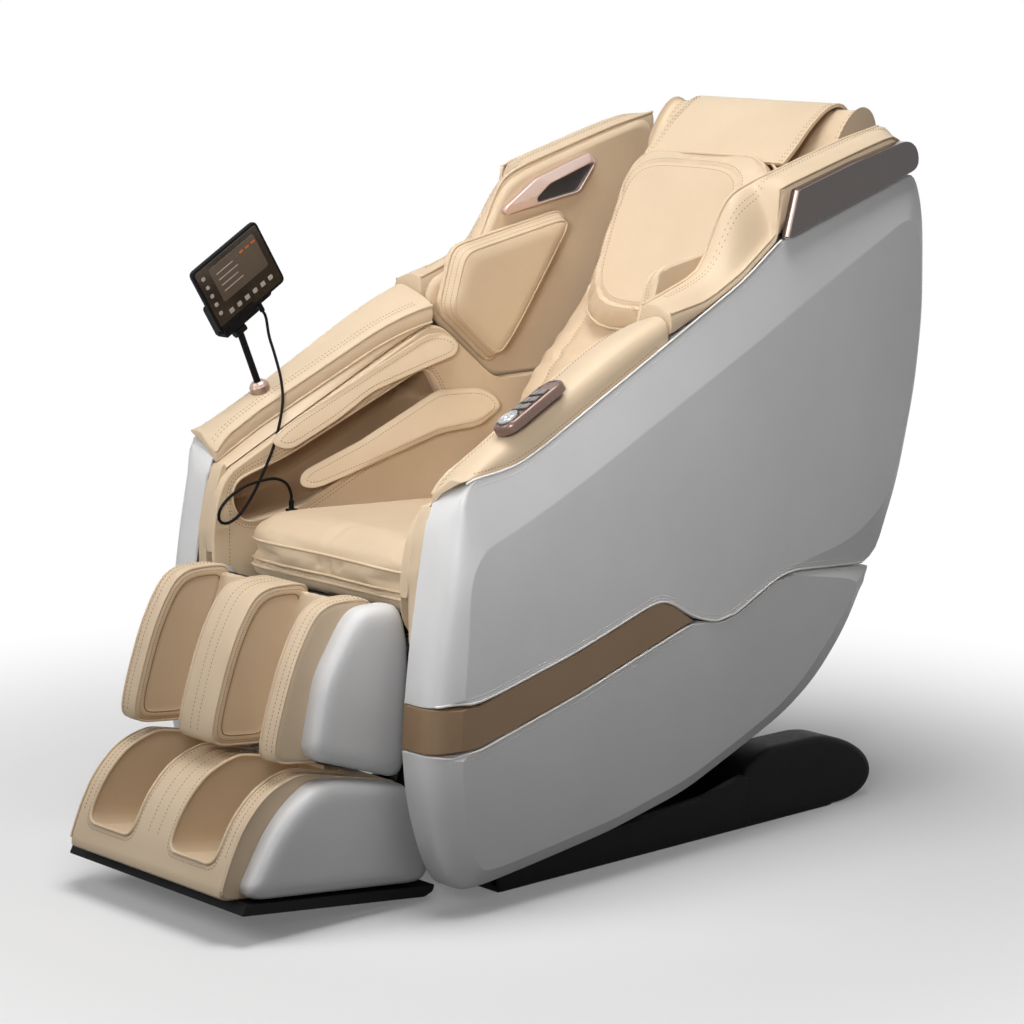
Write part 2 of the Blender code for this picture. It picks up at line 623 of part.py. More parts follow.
def wing_crown(side):
    """The crown's run over the shell's top edge, from the arm pad to behind the trim."""
    loops = []
    stations = ((ARM_PAD_REAR + 0.0006, 0.0), (0.55, 0.0), (0.64, 0.0), (0.690, 0.0), (0.6955, 1.0),
                (0.760, 1.0), (0.861, 1.0), (0.985, 1.0))
    crown = ((0.44, 0.928), (0.607, 1.013), (0.714, 1.084), (0.861, 1.137), (1.004, 1.180))
    for y, behind in stations:
        after = next(i for i in range(1, len(crown)) if y <= crown[i][0])
        (y0, z0), (y1, z1) = crown[after - 1], crown[after]
        top = z0 + (z1 - z0) * (y - y0) / (y1 - y0)
        foot = seam_z(y) if y <= WING_FRONT else seam_z(WING_FRONT) + 0.3218 * (y - WING_FRONT)
        outer = SHELL_OUT - behind * (TRIM_T + FIT)
        foot += 0.0008
        inner = SHELL_IN - 0.008
        section = [(inner, foot), (inner, top - 0.006), (SHELL_IN + 0.012, top), (outer - 0.008, top)]
        section += [(outer, top - 0.007), (outer, foot)]
        loops.append([Vector((side * x, y, z)) for x, z in section])
    return loft(loops)


def side_soft_parts():
    """Arm pads, wing pads, side linings with the forearm window, airbag flaps, speakers and shoulder pads."""
    lining = [(0.000, 0.420), (0.620, 0.420), (0.700, 0.560), (0.785, 0.735), (0.590, 0.735),
              (0.470, 0.835), (0.440, 0.842), (0.0, 0.632)]
    lining += [(-0.020, 0.600), (-0.034, 0.540), (-0.034, 0.470)]
    window = [(0.006, 0.580), (0.030, 0.545), (0.150, 0.560), (0.470, 0.700), (0.430, 0.770),
              (0.120, 0.645), (0.012, 0.615)]
    upper = [(0.101, 0.672), (0.160, 0.650), (0.490, 0.775), (0.500, 0.792), (0.452, 0.818),
             (0.150, 0.700)]
    lower = [(0.135, 0.592), (0.170, 0.588), (0.584, 0.694), (0.590, 0.706), (0.491, 0.733),
             (0.160, 0.618)]
    shoulder = [(0.462, 0.860), (0.584, 0.757), (0.640, 0.815), (0.772, 1.000), (0.757, 1.024),
                (0.485, 0.980)]
    speaker = [(0.629, 1.017), (0.803, 1.046), (0.847, 1.103), (0.829, 1.118), (0.700, 1.078),
               (0.625, 1.030)]
    for side, name in ((1, "left"), (-1, "right")):
        node(f"{name}_arm_pad", arm_pad(side), "chassis", "beige_leather")
        wing = node(f"{name}_wing_pad", wing_pad(side), "chassis", "beige_leather")
        join(wing, wing_crown(side))
        wall = prism(lining, side * LINING_IN, side * LINING_OUT)
        panel = node(f"{name}_inner_panel", wall, "chassis", "beige_leather")
        cut(panel, prism(window, side * (LINING_IN - 0.01), side * (LINING_OUT + 0.01)))
        pocket = sorted((side * (LINING_IN + POCKET_SKIN), side * (LINING_OUT + 0.01)))
        cut(panel, box((pocket[0], -0.10, 0.38), (pocket[1], 0.075, 0.548)))
        flap = side_plane(side, LINING_IN - FIT)
        for label, outline in (("upper", upper), ("lower", lower)):
            form = cushion(drawn_in(outline, FLAP_INSET), flap, 0.013, 0.003, 0.003)
            node(f"{name}_{label}_airbag", form, "chassis", "beige_leather")
        pad = side_plane(side, WING_IN - FIT)
        form = cushion(drawn_in(shoulder, SHOULDER_INSET), pad, 0.046, 0.006, 0.005, 0.012)
        node(f"{name}_shoulder_pad", form, "chassis", "beige_leather")
        bezel = ((0, 0), (0, 0.006), (0.004, 0.010), (0.008, 0.007))
        grille = loft([[pad(y, z, h) for y, z in inset(speaker, d)] for d, h in bezel])
        node(f"{name}_speaker", grille, "chassis", "rose_metal")


def seat_and_back():
    outline_at = shrunk(-SEAT_HALF, SEAT_HALF, SEAT_FRONT, SEAT_REAR, 0.045, 5)

    def seat(u, v, h):
        return Vector((u, v, SEAT_BOTTOM - SEAT_DROP * v + h))

    rim = SEAT_RIM_H
    rings = [(0.020, 0.0), (0.005, 0.006), (0.0, 0.018), (0.0, 0.038), (0.007, 0.045), (0.0, 0.052),
             (0.0, 0.070)]
    rings += [(0.010, rim), (0.035, rim + SEAT_CROWN * 0.45), (0.075, rim + SEAT_CROWN * 0.8),
              (0.130, rim + SEAT_CROWN)]
    form = loft([[seat(u, v, h) for u, v in outline_at(d)] for d, h in rings])
    node("seat_cushion", form, "chassis", "beige_leather")

    def back(u, v, h):
        return back_point(v, BACK_T - h, u)

    outline_at = shrunk(-SEAT_HALF, SEAT_HALF, BACK_LOW, BACK_LEN - 0.030, 0.060, 5)
    node("back_cushion", cushion(outline_at, back, BACK_T - 0.004, 0.022, 0.004), "chassis", "beige_leather")

    foot = back_point(PILLOW_UP, PILLOW_EDGE / 2 * math.sin(PILLOW_TILT) - FIT)
    pillow_up = Matrix.Rotation(PILLOW_TILT, 3, "X") @ BACK_UP
    pillow_out = Matrix.Rotation(PILLOW_TILT, 3, "X") @ -BACK_IN

    def pillow(u, v, h):
        return foot + Vector((u, 0, 0)) + pillow_up * v + pillow_out * h

    outline_at = shrunk(-PILLOW_HALF, PILLOW_HALF, 0.0, PILLOW_H, 0.070, 5)
    form = cushion(outline_at, pillow, PILLOW_T, PILLOW_EDGE, 0.008, 0.042)
    node("head_pillow", form, "chassis", "beige_leather")

    # The flap starts on the pillow's top edge, goes over the head and ends on the back cover
    start = pillow(0, PILLOW_H, PILLOW_T * 0.6) + pillow_up * (FIT + FLAP_T * 0.18) - pillow_out * 0.001
    end_z = COVER_PATH[-1][1] - 0.011
    end = (cover_y(end_z) + COVER_T / 2 + FLAP_T / 2 + FIT, end_z)
    flap = [(start.y, start.z), (0.918, 1.189), (0.958, 1.213), (1.000, 1.214), (1.034, 1.190),
            (1.0445, 1.150)]
    flap += [(1.041, 1.100), end]
    node("head_flap", prism(strip(flap, FLAP_T), -FLAP_HALF, FLAP_HALF), "chassis", "beige_leather")

    cover = prism(strip(COVER_PATH, COVER_T), -SHELL_IN + FIT, SHELL_IN - FIT)
    node("back_cover", cover, "chassis", "white_leather")


def calf_rest():
    plate_low = Vector((-0.1297, 0.265))
    plate_high = Vector((-0.0547, 0.485))
    plate_t = Vector((0.012, -0.004))
    pad_x = LEG_HALF - LEG_SHELL_T - FIT
    plate = [plate_low, plate_low + plate_t, plate_high + plate_t, plate_high]
    frame = node("leg_frame", prism(plate, -pad_x, pad_x), "leg", "frame_steel")
    web = [(-0.121, 0.268), (-0.045, 0.262), (0.014, 0.345), (0.014, 0.420), (-0.046, 0.474)]
    bar = (0.020, 0.400)
    slide_foot = BODIES["foot"][1]
    ear = strip([(0.020, 0.385), (KNEE[0], KNEE[1] + 0.015)], 0.030)
    ear_in = LINING_IN + POCKET_SKIN + RUN
    ear_out = RAIL_IN - 0.001
    join(frame, cross_rod(bar, -ear_out, ear_out, 0.010))
    for side in (1, -1):
        join(frame, prism(web, side * (RAIL_X - 0.013), side * (RAIL_X + 0.013)))
        join(frame, prism(ear, side * ear_in, side * ear_out))
        join(frame, cross_rod(KNEE, side * (ear_in + 0.002), side * (RAIL_OUT - FIT), KNEE_PIN_R))
    radial = Vector((math.sin(LIFT / 2), -math.cos(LIFT / 2)))
    pin_far = LIFT_H / math.cos(LIFT / 2)
    knee = Vector(KNEE)
    lever = strip([knee + radial * (LIFT_H - 0.025), knee + radial * (pin_far + 0.033)], LIFT_SLOT + 0.016)
    arm = strip([bar, knee + radial * (LIFT_H - 0.020)], 0.028)
    join(frame, prism(lever, -0.005, 0.005), prism(arm, -0.005, 0.005))
    slot = strip([knee + radial * (LIFT_H - 0.009), knee + radial * (pin_far + 0.020)], LIFT_SLOT)
    cut(frame, prism(slot, -0.01, 0.01))
    for side in (1, -1):
        low = slide_foot + Vector((side * RAIL_X, 0, 0)) - LEG_UP * 0.05
        cut(frame, rod(low, low + LEG_UP * 0.40, SLIDE_R + RUN))

    side_shell = [(-0.017, 0.216), (-0.006, 0.420), (-0.018, 0.470), (-0.028, 0.490), (-0.100, 0.492),
                  (-0.125, 0.472), (-0.175, 0.394), (-0.202, 0.281)]
    pad = [(-0.1305, 0.264), (-0.0555, 0.484), (-0.062, 0.500), (-0.119, 0.503), (-0.145, 0.499),
           (-0.166, 0.487)]
    pad += [(-0.190, 0.450), (-0.211, 0.406), (-0.234, 0.335), (-0.246, 0.290), (-0.242, 0.276)]
    wall = [(-0.131, 0.265), (-0.0562, 0.484), (-0.074, 0.488), (-0.150, 0.268)]
    for side, name in ((1, "left"), (-1, "right")):
        wall_solid = prism(side_shell, side * (LEG_HALF - LEG_SHELL_T), side * LEG_HALF)
        node(f"{name}_calf_side", wall_solid, "leg", "white_leather")
        rings = [(0.006, pad_x), (0.0, pad_x - 0.008), (0.0, pad_x - 0.022),
                 (0.003, pad_x - CALF_PAD_T + 0.005)]
        rings += [(0.008, pad_x - CALF_PAD_T)]
        loops = [[Vector((side * x, y, z)) for y, z in inset(pad, d)] for d, x in rings]
        node(f"{name}_calf_pad", loft(loops), "leg", "beige_leather")
    rings = [(0.008, -CALF_RIB_HALF), (0.003, -CALF_RIB_HALF + 0.005), (0.0, -CALF_RIB_HALF + 0.018)]
    rings += [(d, -x) for d, x in rings[::-1]]
    rib = loft([[Vector((x, y, z)) for y, z in inset(pad, d)] for d, x in rings])
    centre = node("centre_calf_pad", rib, "leg", "beige_leather")
    wall_x = pad_x - CALF_PAD_T - 0.001
    join(centre, prism(wall, -wall_x, wall_x))


def foot_rest():
    inner = LEG_HALF - LEG_SHELL_T
    sole = [(-0.352, 0.050), (0.023, 0.008), (0.040, 0.014), (0.044, 0.025), (-0.340, 0.050 + SOLE_T)]
    node("sole_plate", prism(sole, -LEG_HALF, LEG_HALF), "foot", "black_plastic")
    cover_outline = [(-0.342, 0.0689), (0.020, 0.0285), (-0.008, 0.197), (-0.030, 0.204),
                     (-0.190, 0.2415), (-0.206, 0.243)]
    cover_outline += [(-0.245, 0.233), (-0.275, 0.217), (-0.310, 0.182), (-0.336, 0.136),
                      (-0.352, 0.096), (FOOT_FRONT, 0.076)]
    cover = node("foot_cover", prism(cover_outline, -inner + FIT, inner - FIT), "foot", "beige_leather")
    well = [(-0.330, 0.094), (-0.130, 0.070), (-0.088, 0.120), (-0.075, 0.300), (-0.420, 0.300),
            (-0.420, 0.120), (-0.345, 0.110)]
    for side in (1, -1):
        cut(cover, prism(well, side * 0.045, side * 0.170))
    shell = [(-0.333, 0.0715), (0.038, 0.030), (0.020, 0.140), (-0.007, 0.196), (-0.040, 0.206),
             (-0.177, 0.236), (-0.225, 0.214), (-0.269, 0.176), (-0.306, 0.120)]
    for side, name in ((1, "left"), (-1, "right")):
        node(f"{name}_foot_side", prism(shell, side * inner, side * LEG_HALF), "foot", "white_leather")
    low = BODIES["foot"][1] - LEG_UP * 0.02
    top_slope = (0.2415 - 0.204) / 0.160
    top_y = (-0.110, -0.040)
    lift = [(y, 0.204 + (-0.030 - y) * top_slope + FIT * 1.2) for y in top_y]
    flange = [lift[0], lift[1], (lift[1][0], lift[1][1] + 0.006), (lift[0][0], lift[0][1] + 0.006)]
    rails = node("foot_slide_rails", prism(flange, -RAIL_X - 0.014, RAIL_X + 0.014), "foot", "bright_steel")
    cut(rails, prism(flange_gap(flange), -0.040, 0.040))
    for side in (1, -1):
        start = low + Vector((side * RAIL_X, 0, 0))
        join(rails, rod(start, start + LEG_UP * (FOOT_TRAVEL + 0.115), SLIDE_R))


def flange_gap(flange):
    """A notch at the rear of the flange, which leaves one tie bar across."""
    (y0, z0), (y1, z1) = flange[0], flange[1]
    middle = (y0 + y1) / 2
    return [(middle, z0 - 0.03), (y1 + 0.02, z1 - 0.03), (y1 + 0.02, z1 + 0.03), (middle, z0 + 0.03)]


def leg_drive():
    pin = BODIES["leg_rod"][1]
    barrel = rod((0, 0.245, pin.z), (0, 0.50, pin.z), ACTUATOR_R)
    motor = node("leg_actuator", barrel, "chassis", "black_plastic")
    join(motor, box((-0.018, 0.400, 0.310 + FIT), (0.018, 0.440, pin.z)))
    cut(motor, rod((0, 0.20, pin.z), (0, 0.485, pin.z), ROD_R + RUN))
    pin_rod("leg_rod", -1, 0.465, 0.0065, 0.014)


def tablet_parts():
    """Dome, stalk, cradle, tablet, and the cable from the tablet's foot to its socket by the seat."""
    turn = Matrix.Rotation(TABLET_TURN, 3, "X")
    face_x = STALK_BASE.x

    def flat(u, v, w):
        return Vector((face_x + w, *TABLET_MID)) + turn @ Vector((0, u, v))

    def slab(u0, u1, v0, v1, w0, w1, radius):
        outline = rounded(u0, u1, v0, v1, radius, 3)
        return loft([[flat(u, v, w) for u, v in outline] for w in (w0, w1)])

    lean = STALK_DIR.to_track_quat("Z", "Y").to_matrix()
    arm_normal = Vector((ARM_DIP, -ARM_RISE, 1))
    loops = []
    for radius, height in ((DOME_R, 0), (DOME_R, 0.007), (DOME_R * 0.8, 0.012), (STALK_R + 0.004, DOME_H)):
        loop = []
        for i in range(24):
            angle = 2 * math.pi * i / 24
            point = STALK_BASE + lean @ Vector((radius * math.cos(angle), radius * math.sin(angle), height))
            if height == 0:
                point -= STALK_DIR * ((point - STALK_BASE).dot(arm_normal) / STALK_DIR.dot(arm_normal))
            loop.append(point)
        loops.append(loop)
    node("stalk_socket", loft(loops), "chassis", "rose_metal")
    start = STALK_BASE + STALK_DIR * (DOME_H + FIT)
    stalk = node("stalk", rod(start, STALK_TOP, STALK_R), "stalk", "black_plastic")
    edge = turn @ Vector((0, 1, 0))
    join(stalk, rod(STALK_TOP - edge * 0.012, STALK_TOP + edge * 0.012, 0.0075))

    bottom = -TABLET_H / 2
    half = TABLET_T / 2
    hinge_v = (turn.inverted() @ (STALK_TOP - Vector((face_x, *TABLET_MID)))).z
    grip = (-TABLET_W / 2 + 0.002, 0.004)
    lip = hinge_v + 0.0075 + RUN
    screen = slab(-TABLET_W / 2, TABLET_W / 2, bottom, TABLET_H / 2, -half, half, 0.010)
    node("tablet", screen, "tablet", "screen_glass")
    back_plate = slab(grip[0], 0.050, lip, bottom + 0.050, -half - 0.012, -half - FIT, 0.006)
    cradle = node("tablet_cradle", back_plate, "tablet", "black_plastic")
    low = (grip[0] + CRADLE_STEP, grip[1] - CRADLE_STEP, lip + CRADLE_STEP / 2)
    join(cradle, slab(*low, bottom - FIT, -half - 0.010, half + 0.004, 0.0008))
    tongue = (low[0] + CRADLE_STEP, low[1] - CRADLE_STEP, low[2] + CRADLE_STEP)
    join(cradle, slab(*tongue, bottom + 0.010, half + FIT, half + 0.004 - CRADLE_STEP / 2, 0.0015))

    plug_u = 0.014
    plug_end = flat(plug_u, bottom - 0.018, 0)
    node("tablet_plug", rod(flat(plug_u, bottom - FIT, 0), plug_end, 0.0045, 12), "tablet", "black_plastic")
    gland_top = Vector((-LINING_IN + 0.007, 0.125, 0.572))
    sleeve = rod(gland_top - Vector((0, 0, 0.016)), gland_top, 0.0045, 12)
    gland = node("cable_gland", sleeve, "chassis", "black_plastic")
    join(gland, box((-LINING_IN + FIT, 0.117, 0.549), (-LINING_IN + 0.013, 0.133, 0.558)))

    route = [plug_end + (plug_end - flat(plug_u, bottom, 0)).normalized() * FIT * 1.5]
    route += [route[0] + (plug_end - flat(plug_u, bottom, 0)).normalized() * 0.013]
    route += [Vector(point) for point in CABLE_ROUTE]
    route += [gland_top + Vector((0, 0, 0.010)), gland_top + Vector((0, 0, FIT))]
    cable_node(route)


# Cable points by hand, from the tablet's plug down over the arm, round a loose loop and into the socket
CABLE_ROUTE = [(-0.300, 0.136, 0.842), (-0.288, 0.138, 0.812), (-0.269, 0.135, 0.776),
               (-0.252, 0.126, 0.742),
               (-0.240, 0.110, 0.706), (-0.232, 0.090, 0.668), (-0.231, 0.066, 0.625),
               (-0.231, 0.040, 0.586),
               (-0.231, 0.014, 0.560), (-0.231, -0.010, 0.550), (-0.229, -0.027, 0.557),
               (-0.226, -0.028, 0.575),
               (-0.224, -0.010, 0.594), (-0.224, 0.020, 0.608), (-0.224, 0.054, 0.614),
               (-0.226, 0.088, 0.614),
               (-0.229, 0.114, 0.602)]


def smooth_route(points, spacing):
    """Even points along a smooth curve through the route's own points."""
    fine = []
    padded = [2 * points[0] - points[1]] + points + [2 * points[-1] - points[-2]]
    for p0, p1, p2, p3 in zip(padded, padded[1:], padded[2:], padded[3:]):
        for i in range(12):
            t = i / 12
            fine.append(0.5 * (2 * p1 + (p2 - p0) * t + (2 * p0 - 5 * p1 + 4 * p2 - p3) * t * t
                               + (3 * p1 - p0 - 3 * p2 + p3) * t ** 3))
    fine.append(points[-1])
    length = sum((b - a).length for a, b in zip(fine, fine[1:]))
    count = max(2, round(length / spacing))
    even = [fine[0]]
    walked = 0.0
    for a, b in zip(fine, fine[1:]):
        walked += (b - a).length
        if walked >= length * len(even) / count and len(even) < count:
            even.append(b)
    even.append(fine[-1])
    print("tablet cable length", round(length, 4), "points", len(even))
    return even


def cable_node(route):
    points = smooth_route(route, CABLE_R * 5)
    curve = bpy.data.curves.new("tablet_cable", "CURVE")
    curve.dimensions = "3D"
    curve.bevel_depth = CABLE_R
    curve.bevel_resolution = 2
    curve.use_fill_caps = True
    spline = curve.splines.new("POLY")
    spline.points.add(len(points) - 1)
    for target, point in zip(spline.points, points):
        target.co = (*point, 1)
    curve.materials.append(materials["black_plastic"])
    cable = bpy.data.objects.new("tablet_cable", curve)
    cable.parent = empties["chassis"]
    cable.location = -BODIES["chassis"][1]
    scene_objects.link(cable)


def key_pod():
    """Oval pod on the arm with a pressed dial at the front and three rocker keys behind it."""
    def oval(length, width, steps=8):
        return rounded(-length / 2, length / 2, -width / 2, width / 2, width / 2 - 0.0005, steps)

    rings = [(0.0, 0.0), (0.0, POD_H * 0.6), (0.003, POD_H * 0.9), (0.006, POD_H)]
    outline = oval(POD_LEN, POD_W)
    form = loft([[pod_point(u, v, h) for u, v in inset(outline, d)] for d, h in rings])
    pod = node("control_pod", form, "chassis", "rose_metal")

    def turned(radius, h0, h1):
        angles = [2 * math.pi * i / 28 for i in range(28)]
        circle = [(DIAL_AT + radius * math.cos(a), radius * math.sin(a)) for a in angles]
        return loft([[pod_point(u, v, h) for u, v in circle] for h in (h0, h1)])

    def key_block(middle, grow, h0, h1):
        depth = KEY_D / 2 + grow
        width = KEY_W / 2 + grow
        outline = rounded(middle - depth, middle + depth, -width, width, 0.004, 3)
        return loft([[pod_point(u, v, h) for u, v in outline] for h in (h0, h1)])

    cut(pod, turned(DIAL_R + RUN, POD_H - DIAL_TRAVEL - 0.003, POD_H + 0.01))
    node("dial", turned(DIAL_R, POD_H - 0.002, POD_H + 0.004), "dial", "bright_steel")
    for row, key in enumerate(KEYS):
        middle = KEY_FIRST + row * KEY_PITCH
        cut(pod, key_block(middle, RUN, POD_H - 0.006, POD_H + 0.01))
        node(key, key_block(middle, 0, POD_H - 0.0030, POD_H + KEY_H - 0.002), key, "brown_gloss")


base_parts()
seat_frame()
roller_carriage()
side_shells()
side_soft_parts()
seat_and_back()
calf_rest()
foot_rest()
leg_drive()
tablet_parts()
key_pod()
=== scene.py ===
# %% [markdown]
# # A massage chair, dressed piece by piece
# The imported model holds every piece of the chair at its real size, and how it moves. This lesson puts
# leather, metal and plastic on it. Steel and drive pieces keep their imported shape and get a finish. Pads,
# shells and covers are modelled anew in the space that their plain solids hold.

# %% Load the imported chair
import json
import math

import bmesh
import bpy
import numpy as np
from mathutils import Matrix, Vector, noise
from mathutils.bvhtree import BVHTree
from mathutils.geometry import intersect_point_line


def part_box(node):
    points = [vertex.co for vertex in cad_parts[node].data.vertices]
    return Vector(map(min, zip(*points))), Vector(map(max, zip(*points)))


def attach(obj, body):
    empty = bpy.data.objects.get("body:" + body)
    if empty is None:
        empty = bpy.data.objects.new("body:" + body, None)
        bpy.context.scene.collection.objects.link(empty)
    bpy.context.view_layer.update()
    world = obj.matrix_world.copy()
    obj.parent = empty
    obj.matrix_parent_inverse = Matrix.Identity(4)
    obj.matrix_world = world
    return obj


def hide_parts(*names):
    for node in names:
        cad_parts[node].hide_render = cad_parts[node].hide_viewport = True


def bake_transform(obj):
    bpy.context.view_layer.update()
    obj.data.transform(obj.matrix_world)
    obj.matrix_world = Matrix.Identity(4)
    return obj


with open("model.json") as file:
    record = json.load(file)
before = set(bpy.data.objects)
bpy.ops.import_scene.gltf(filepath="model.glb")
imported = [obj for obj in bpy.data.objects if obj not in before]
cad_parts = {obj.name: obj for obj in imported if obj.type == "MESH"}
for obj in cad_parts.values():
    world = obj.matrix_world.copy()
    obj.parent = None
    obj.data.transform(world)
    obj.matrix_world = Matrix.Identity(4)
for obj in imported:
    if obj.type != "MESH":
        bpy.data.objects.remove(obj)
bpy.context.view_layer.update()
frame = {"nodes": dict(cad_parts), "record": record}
scene = bpy.context.scene
slot_of = {part["node"]: part["material_slot"] for part in frame["record"]["subparts"]}

# %% [markdown]
# ## Camera, light and floor
# The camera stands where the photograph was taken: in front, on the sitter's left, a little above the
# seat. A long lens keeps the far side nearly as large as the near side. The light is a studio's: a large
# soft lamp in front on the sitter's right, a second one overhead, a narrow weak one on the near arm, and
# a pale floor that takes the shadow. The near side has no lamp of its own, so the shell stays grey.

# %% Camera
camera = bpy.data.objects.new("camera", bpy.data.cameras.new("camera"))
camera.location = (4.000, -3.532, 1.537)
camera.rotation_euler = (math.radians(79.591), 0, math.radians(48))
camera.data.lens = 114.26
camera.data.sensor_width = 36
scene.collection.objects.link(camera)
scene.camera = camera
scene.view_settings.view_transform = "Standard"
print("camera at", tuple(camera.location))

# %% Lamps


def lamp(name, place, target, size, power, spread=180):
    light = bpy.data.lights.new(name, "AREA")
    light.shape = "DISK"
    light.size = size
    light.energy = power
    light.spread = math.radians(spread)
    holder = bpy.data.objects.new(name, light)
    holder.location = place
    holder.rotation_euler = (Vector(target) - Vector(place)).to_track_quat("-Z", "Y").to_euler()
    scene.collection.objects.link(holder)


CHAIR_MID = (0, 0, 0.6)
lamp("key", (-1.4, -3.3, 2.7), CHAIR_MID, 2.4, 52)
lamp("top", (0.5, -0.4, 3.6), CHAIR_MID, 2.0, 76)
lamp("near_fill", (2.0, -2.3, 1.45), (0.40, -0.36, 0.98), 0.7, 2.9, 40)

# %% [markdown]
# ### A white surround
# The background is white to the camera and in reflections, but it lights the chair only a little. Light
# Path tells the shader which ray is asking, so the floor can fade to plain white and still hold the soft
# shadow under the base.

# %% World and floor


def math_node(tree, operation, first, second):
    made = tree.nodes.new("ShaderNodeMath")
    made.operation = operation
    for socket, value in zip(made.inputs, (first, second)):
        if isinstance(value, (int, float)):
            socket.default_value = value
        else:
            tree.links.new(value, socket)
    return made.outputs[0]


def spread_over(tree, value, low, high):
    """A node that spreads a value from 0 to 1 over two numbers."""
    made = tree.nodes.new("ShaderNodeMapRange")
    made.inputs["To Min"].default_value = low
    made.inputs["To Max"].default_value = high
    tree.links.new(value, made.inputs["Value"])
    return made


def seen_factor(tree):
    """1 for what the camera, a mirror or glass sees, 0 for what lights the chair."""
    path = tree.nodes.new("ShaderNodeLightPath")
    total = path.outputs["Is Camera Ray"]
    for ray in ("Is Glossy Ray", "Is Transmission Ray"):
        total = math_node(tree, "MAXIMUM", total, path.outputs[ray])
    return total


def placed(name, bm):
    """An object in the scene that holds a form."""
    mesh = bpy.data.meshes.new(name)
    bm.to_mesh(mesh)
    bm.free()
    made = bpy.data.objects.new(name, mesh)
    scene.collection.objects.link(made)
    return made


world = bpy.data.worlds.new("studio")
scene.world = world
world.use_nodes = True
back = world.node_tree.nodes["Background"]
ROOM_LIGHT = 0.10
strength = spread_over(world.node_tree, seen_factor(world.node_tree), ROOM_LIGHT, 1.0)
world.node_tree.links.new(strength.outputs["Result"], back.inputs["Strength"])
back.inputs["Color"].default_value = (1, 1, 1, 1)

FLOOR_REACH = 14.0
floor_mesh = bmesh.new()
bmesh.ops.create_grid(floor_mesh, x_segments=1, y_segments=1, size=FLOOR_REACH)
floor = placed("floor", floor_mesh)
floor.location = (0, 0, -0.0005)
paper = bpy.data.materials.new("floor_paper")
paper.use_nodes = True
tree = paper.node_tree
shade = tree.nodes["Principled BSDF"]
FLOOR_TONES = (0.10, 0.86)                              # grey as it lights the chair, and as it is seen
tone = spread_over(tree, seen_factor(tree), *FLOOR_TONES)
tree.links.new(tone.outputs["Result"], shade.inputs["Base Color"])
shade.inputs["Roughness"].default_value = 0.9
glow = tree.nodes.new("ShaderNodeEmission")
mix = tree.nodes.new("ShaderNodeMixShader")
FLOOR_GLOW = 0.13                                       # share of plain white near the chair
# The floor fades to plain white between these distances.
SHADOW_REACH = (0.75, 1.9)
place = tree.nodes.new("ShaderNodeTexCoord")
away = tree.nodes.new("ShaderNodeVectorMath")
away.operation = "LENGTH"
tree.links.new(place.outputs["Object"], away.inputs[0])
fade = spread_over(tree, away.outputs["Value"], FLOOR_GLOW, 1.0)
fade.interpolation_type = "SMOOTHSTEP"
fade.inputs["From Min"].default_value, fade.inputs["From Max"].default_value = SHADOW_REACH
tree.links.new(math_node(tree, "MULTIPLY", seen_factor(tree), fade.outputs["Result"]), mix.inputs["Fac"])
tree.links.new(shade.outputs[0], mix.inputs[1])
tree.links.new(glow.outputs[0], mix.inputs[2])
tree.links.new(mix.outputs[0], tree.nodes["Material Output"].inputs["Surface"])
floor.data.materials.append(paper)
print("floor reaches", FLOOR_REACH, "m")

# %% [markdown]
# ## Finishes
# Leather is never one flat colour. Its grain is a net of small pebbles, its tone drifts from hide to
# hide, and it shines a little more where it is pulled tight. Three node groups hold what the finishes
# share: a grain, a drift of tone, and fine streaks for metal. Each material places them with its own
# values.

# %% Colours and shared groups


def tint(red, green, blue):
    """A colour given as seen on screen, 0 to 255, in the linear values that shaders take."""
    def linear(value):
        value /= 255
        return value / 12.92 if value <= 0.04045 else ((value + 0.055) / 1.055) ** 2.4
    return (linear(red), linear(green), linear(blue), 1)


def make_group(name, inputs, outputs):
    group = bpy.data.node_groups.new(name, "ShaderNodeTree")
    for label, value in inputs:
        socket = group.interface.new_socket(label, in_out="INPUT", socket_type="NodeSocketFloat")
        socket.default_value = value
    for label in outputs:
        group.interface.new_socket(label, in_out="OUTPUT", socket_type="NodeSocketFloat")
    return group, group.nodes.new("NodeGroupInput"), group.nodes.new("NodeGroupOutput")


def texture(tree, kind, scale, **settings):
    """A texture node on Object coordinates; scale is a number or an output socket."""
    place = tree.nodes.new("ShaderNodeTexCoord")
    made = tree.nodes.new(kind)
    tree.links.new(place.outputs["Object"], made.inputs["Vector"])
    if isinstance(scale, (int, float)):
        made.inputs["Scale"].default_value = scale
    else:
        tree.links.new(scale, made.inputs["Scale"])
    for label, value in settings.items():
        made.inputs[label].default_value = value
    return made


grain, grain_in, grain_out = make_group("leather_grain", [("Pebbles per metre", 520.0)], ["Height", "Shine"])
cells = texture(grain, "ShaderNodeTexVoronoi", grain_in.outputs[0])
cells.feature = "SMOOTH_F1"
cells.inputs["Smoothness"].default_value = 0.6
pores = texture(grain, "ShaderNodeTexNoise", 1900.0, Detail=2.0)
grain.links.new(math_node(grain, "ADD", cells.outputs["Distance"],
                          math_node(grain, "MULTIPLY", pores.outputs["Fac"], 0.35)),
                grain_out.inputs["Height"])
shine = texture(grain, "ShaderNodeTexNoise", 26.0, Detail=4.0)
grain.links.new(shine.outputs["Fac"], grain_out.inputs["Shine"])

drift, drift_in, drift_out = make_group("tone_drift", [("Patches per metre", 5.0)], ["Tone"])
patches = texture(drift, "ShaderNodeTexNoise", drift_in.outputs[0], Detail=5.0, Roughness=0.6)
drift.links.new(patches.outputs["Fac"], drift_out.inputs["Tone"])

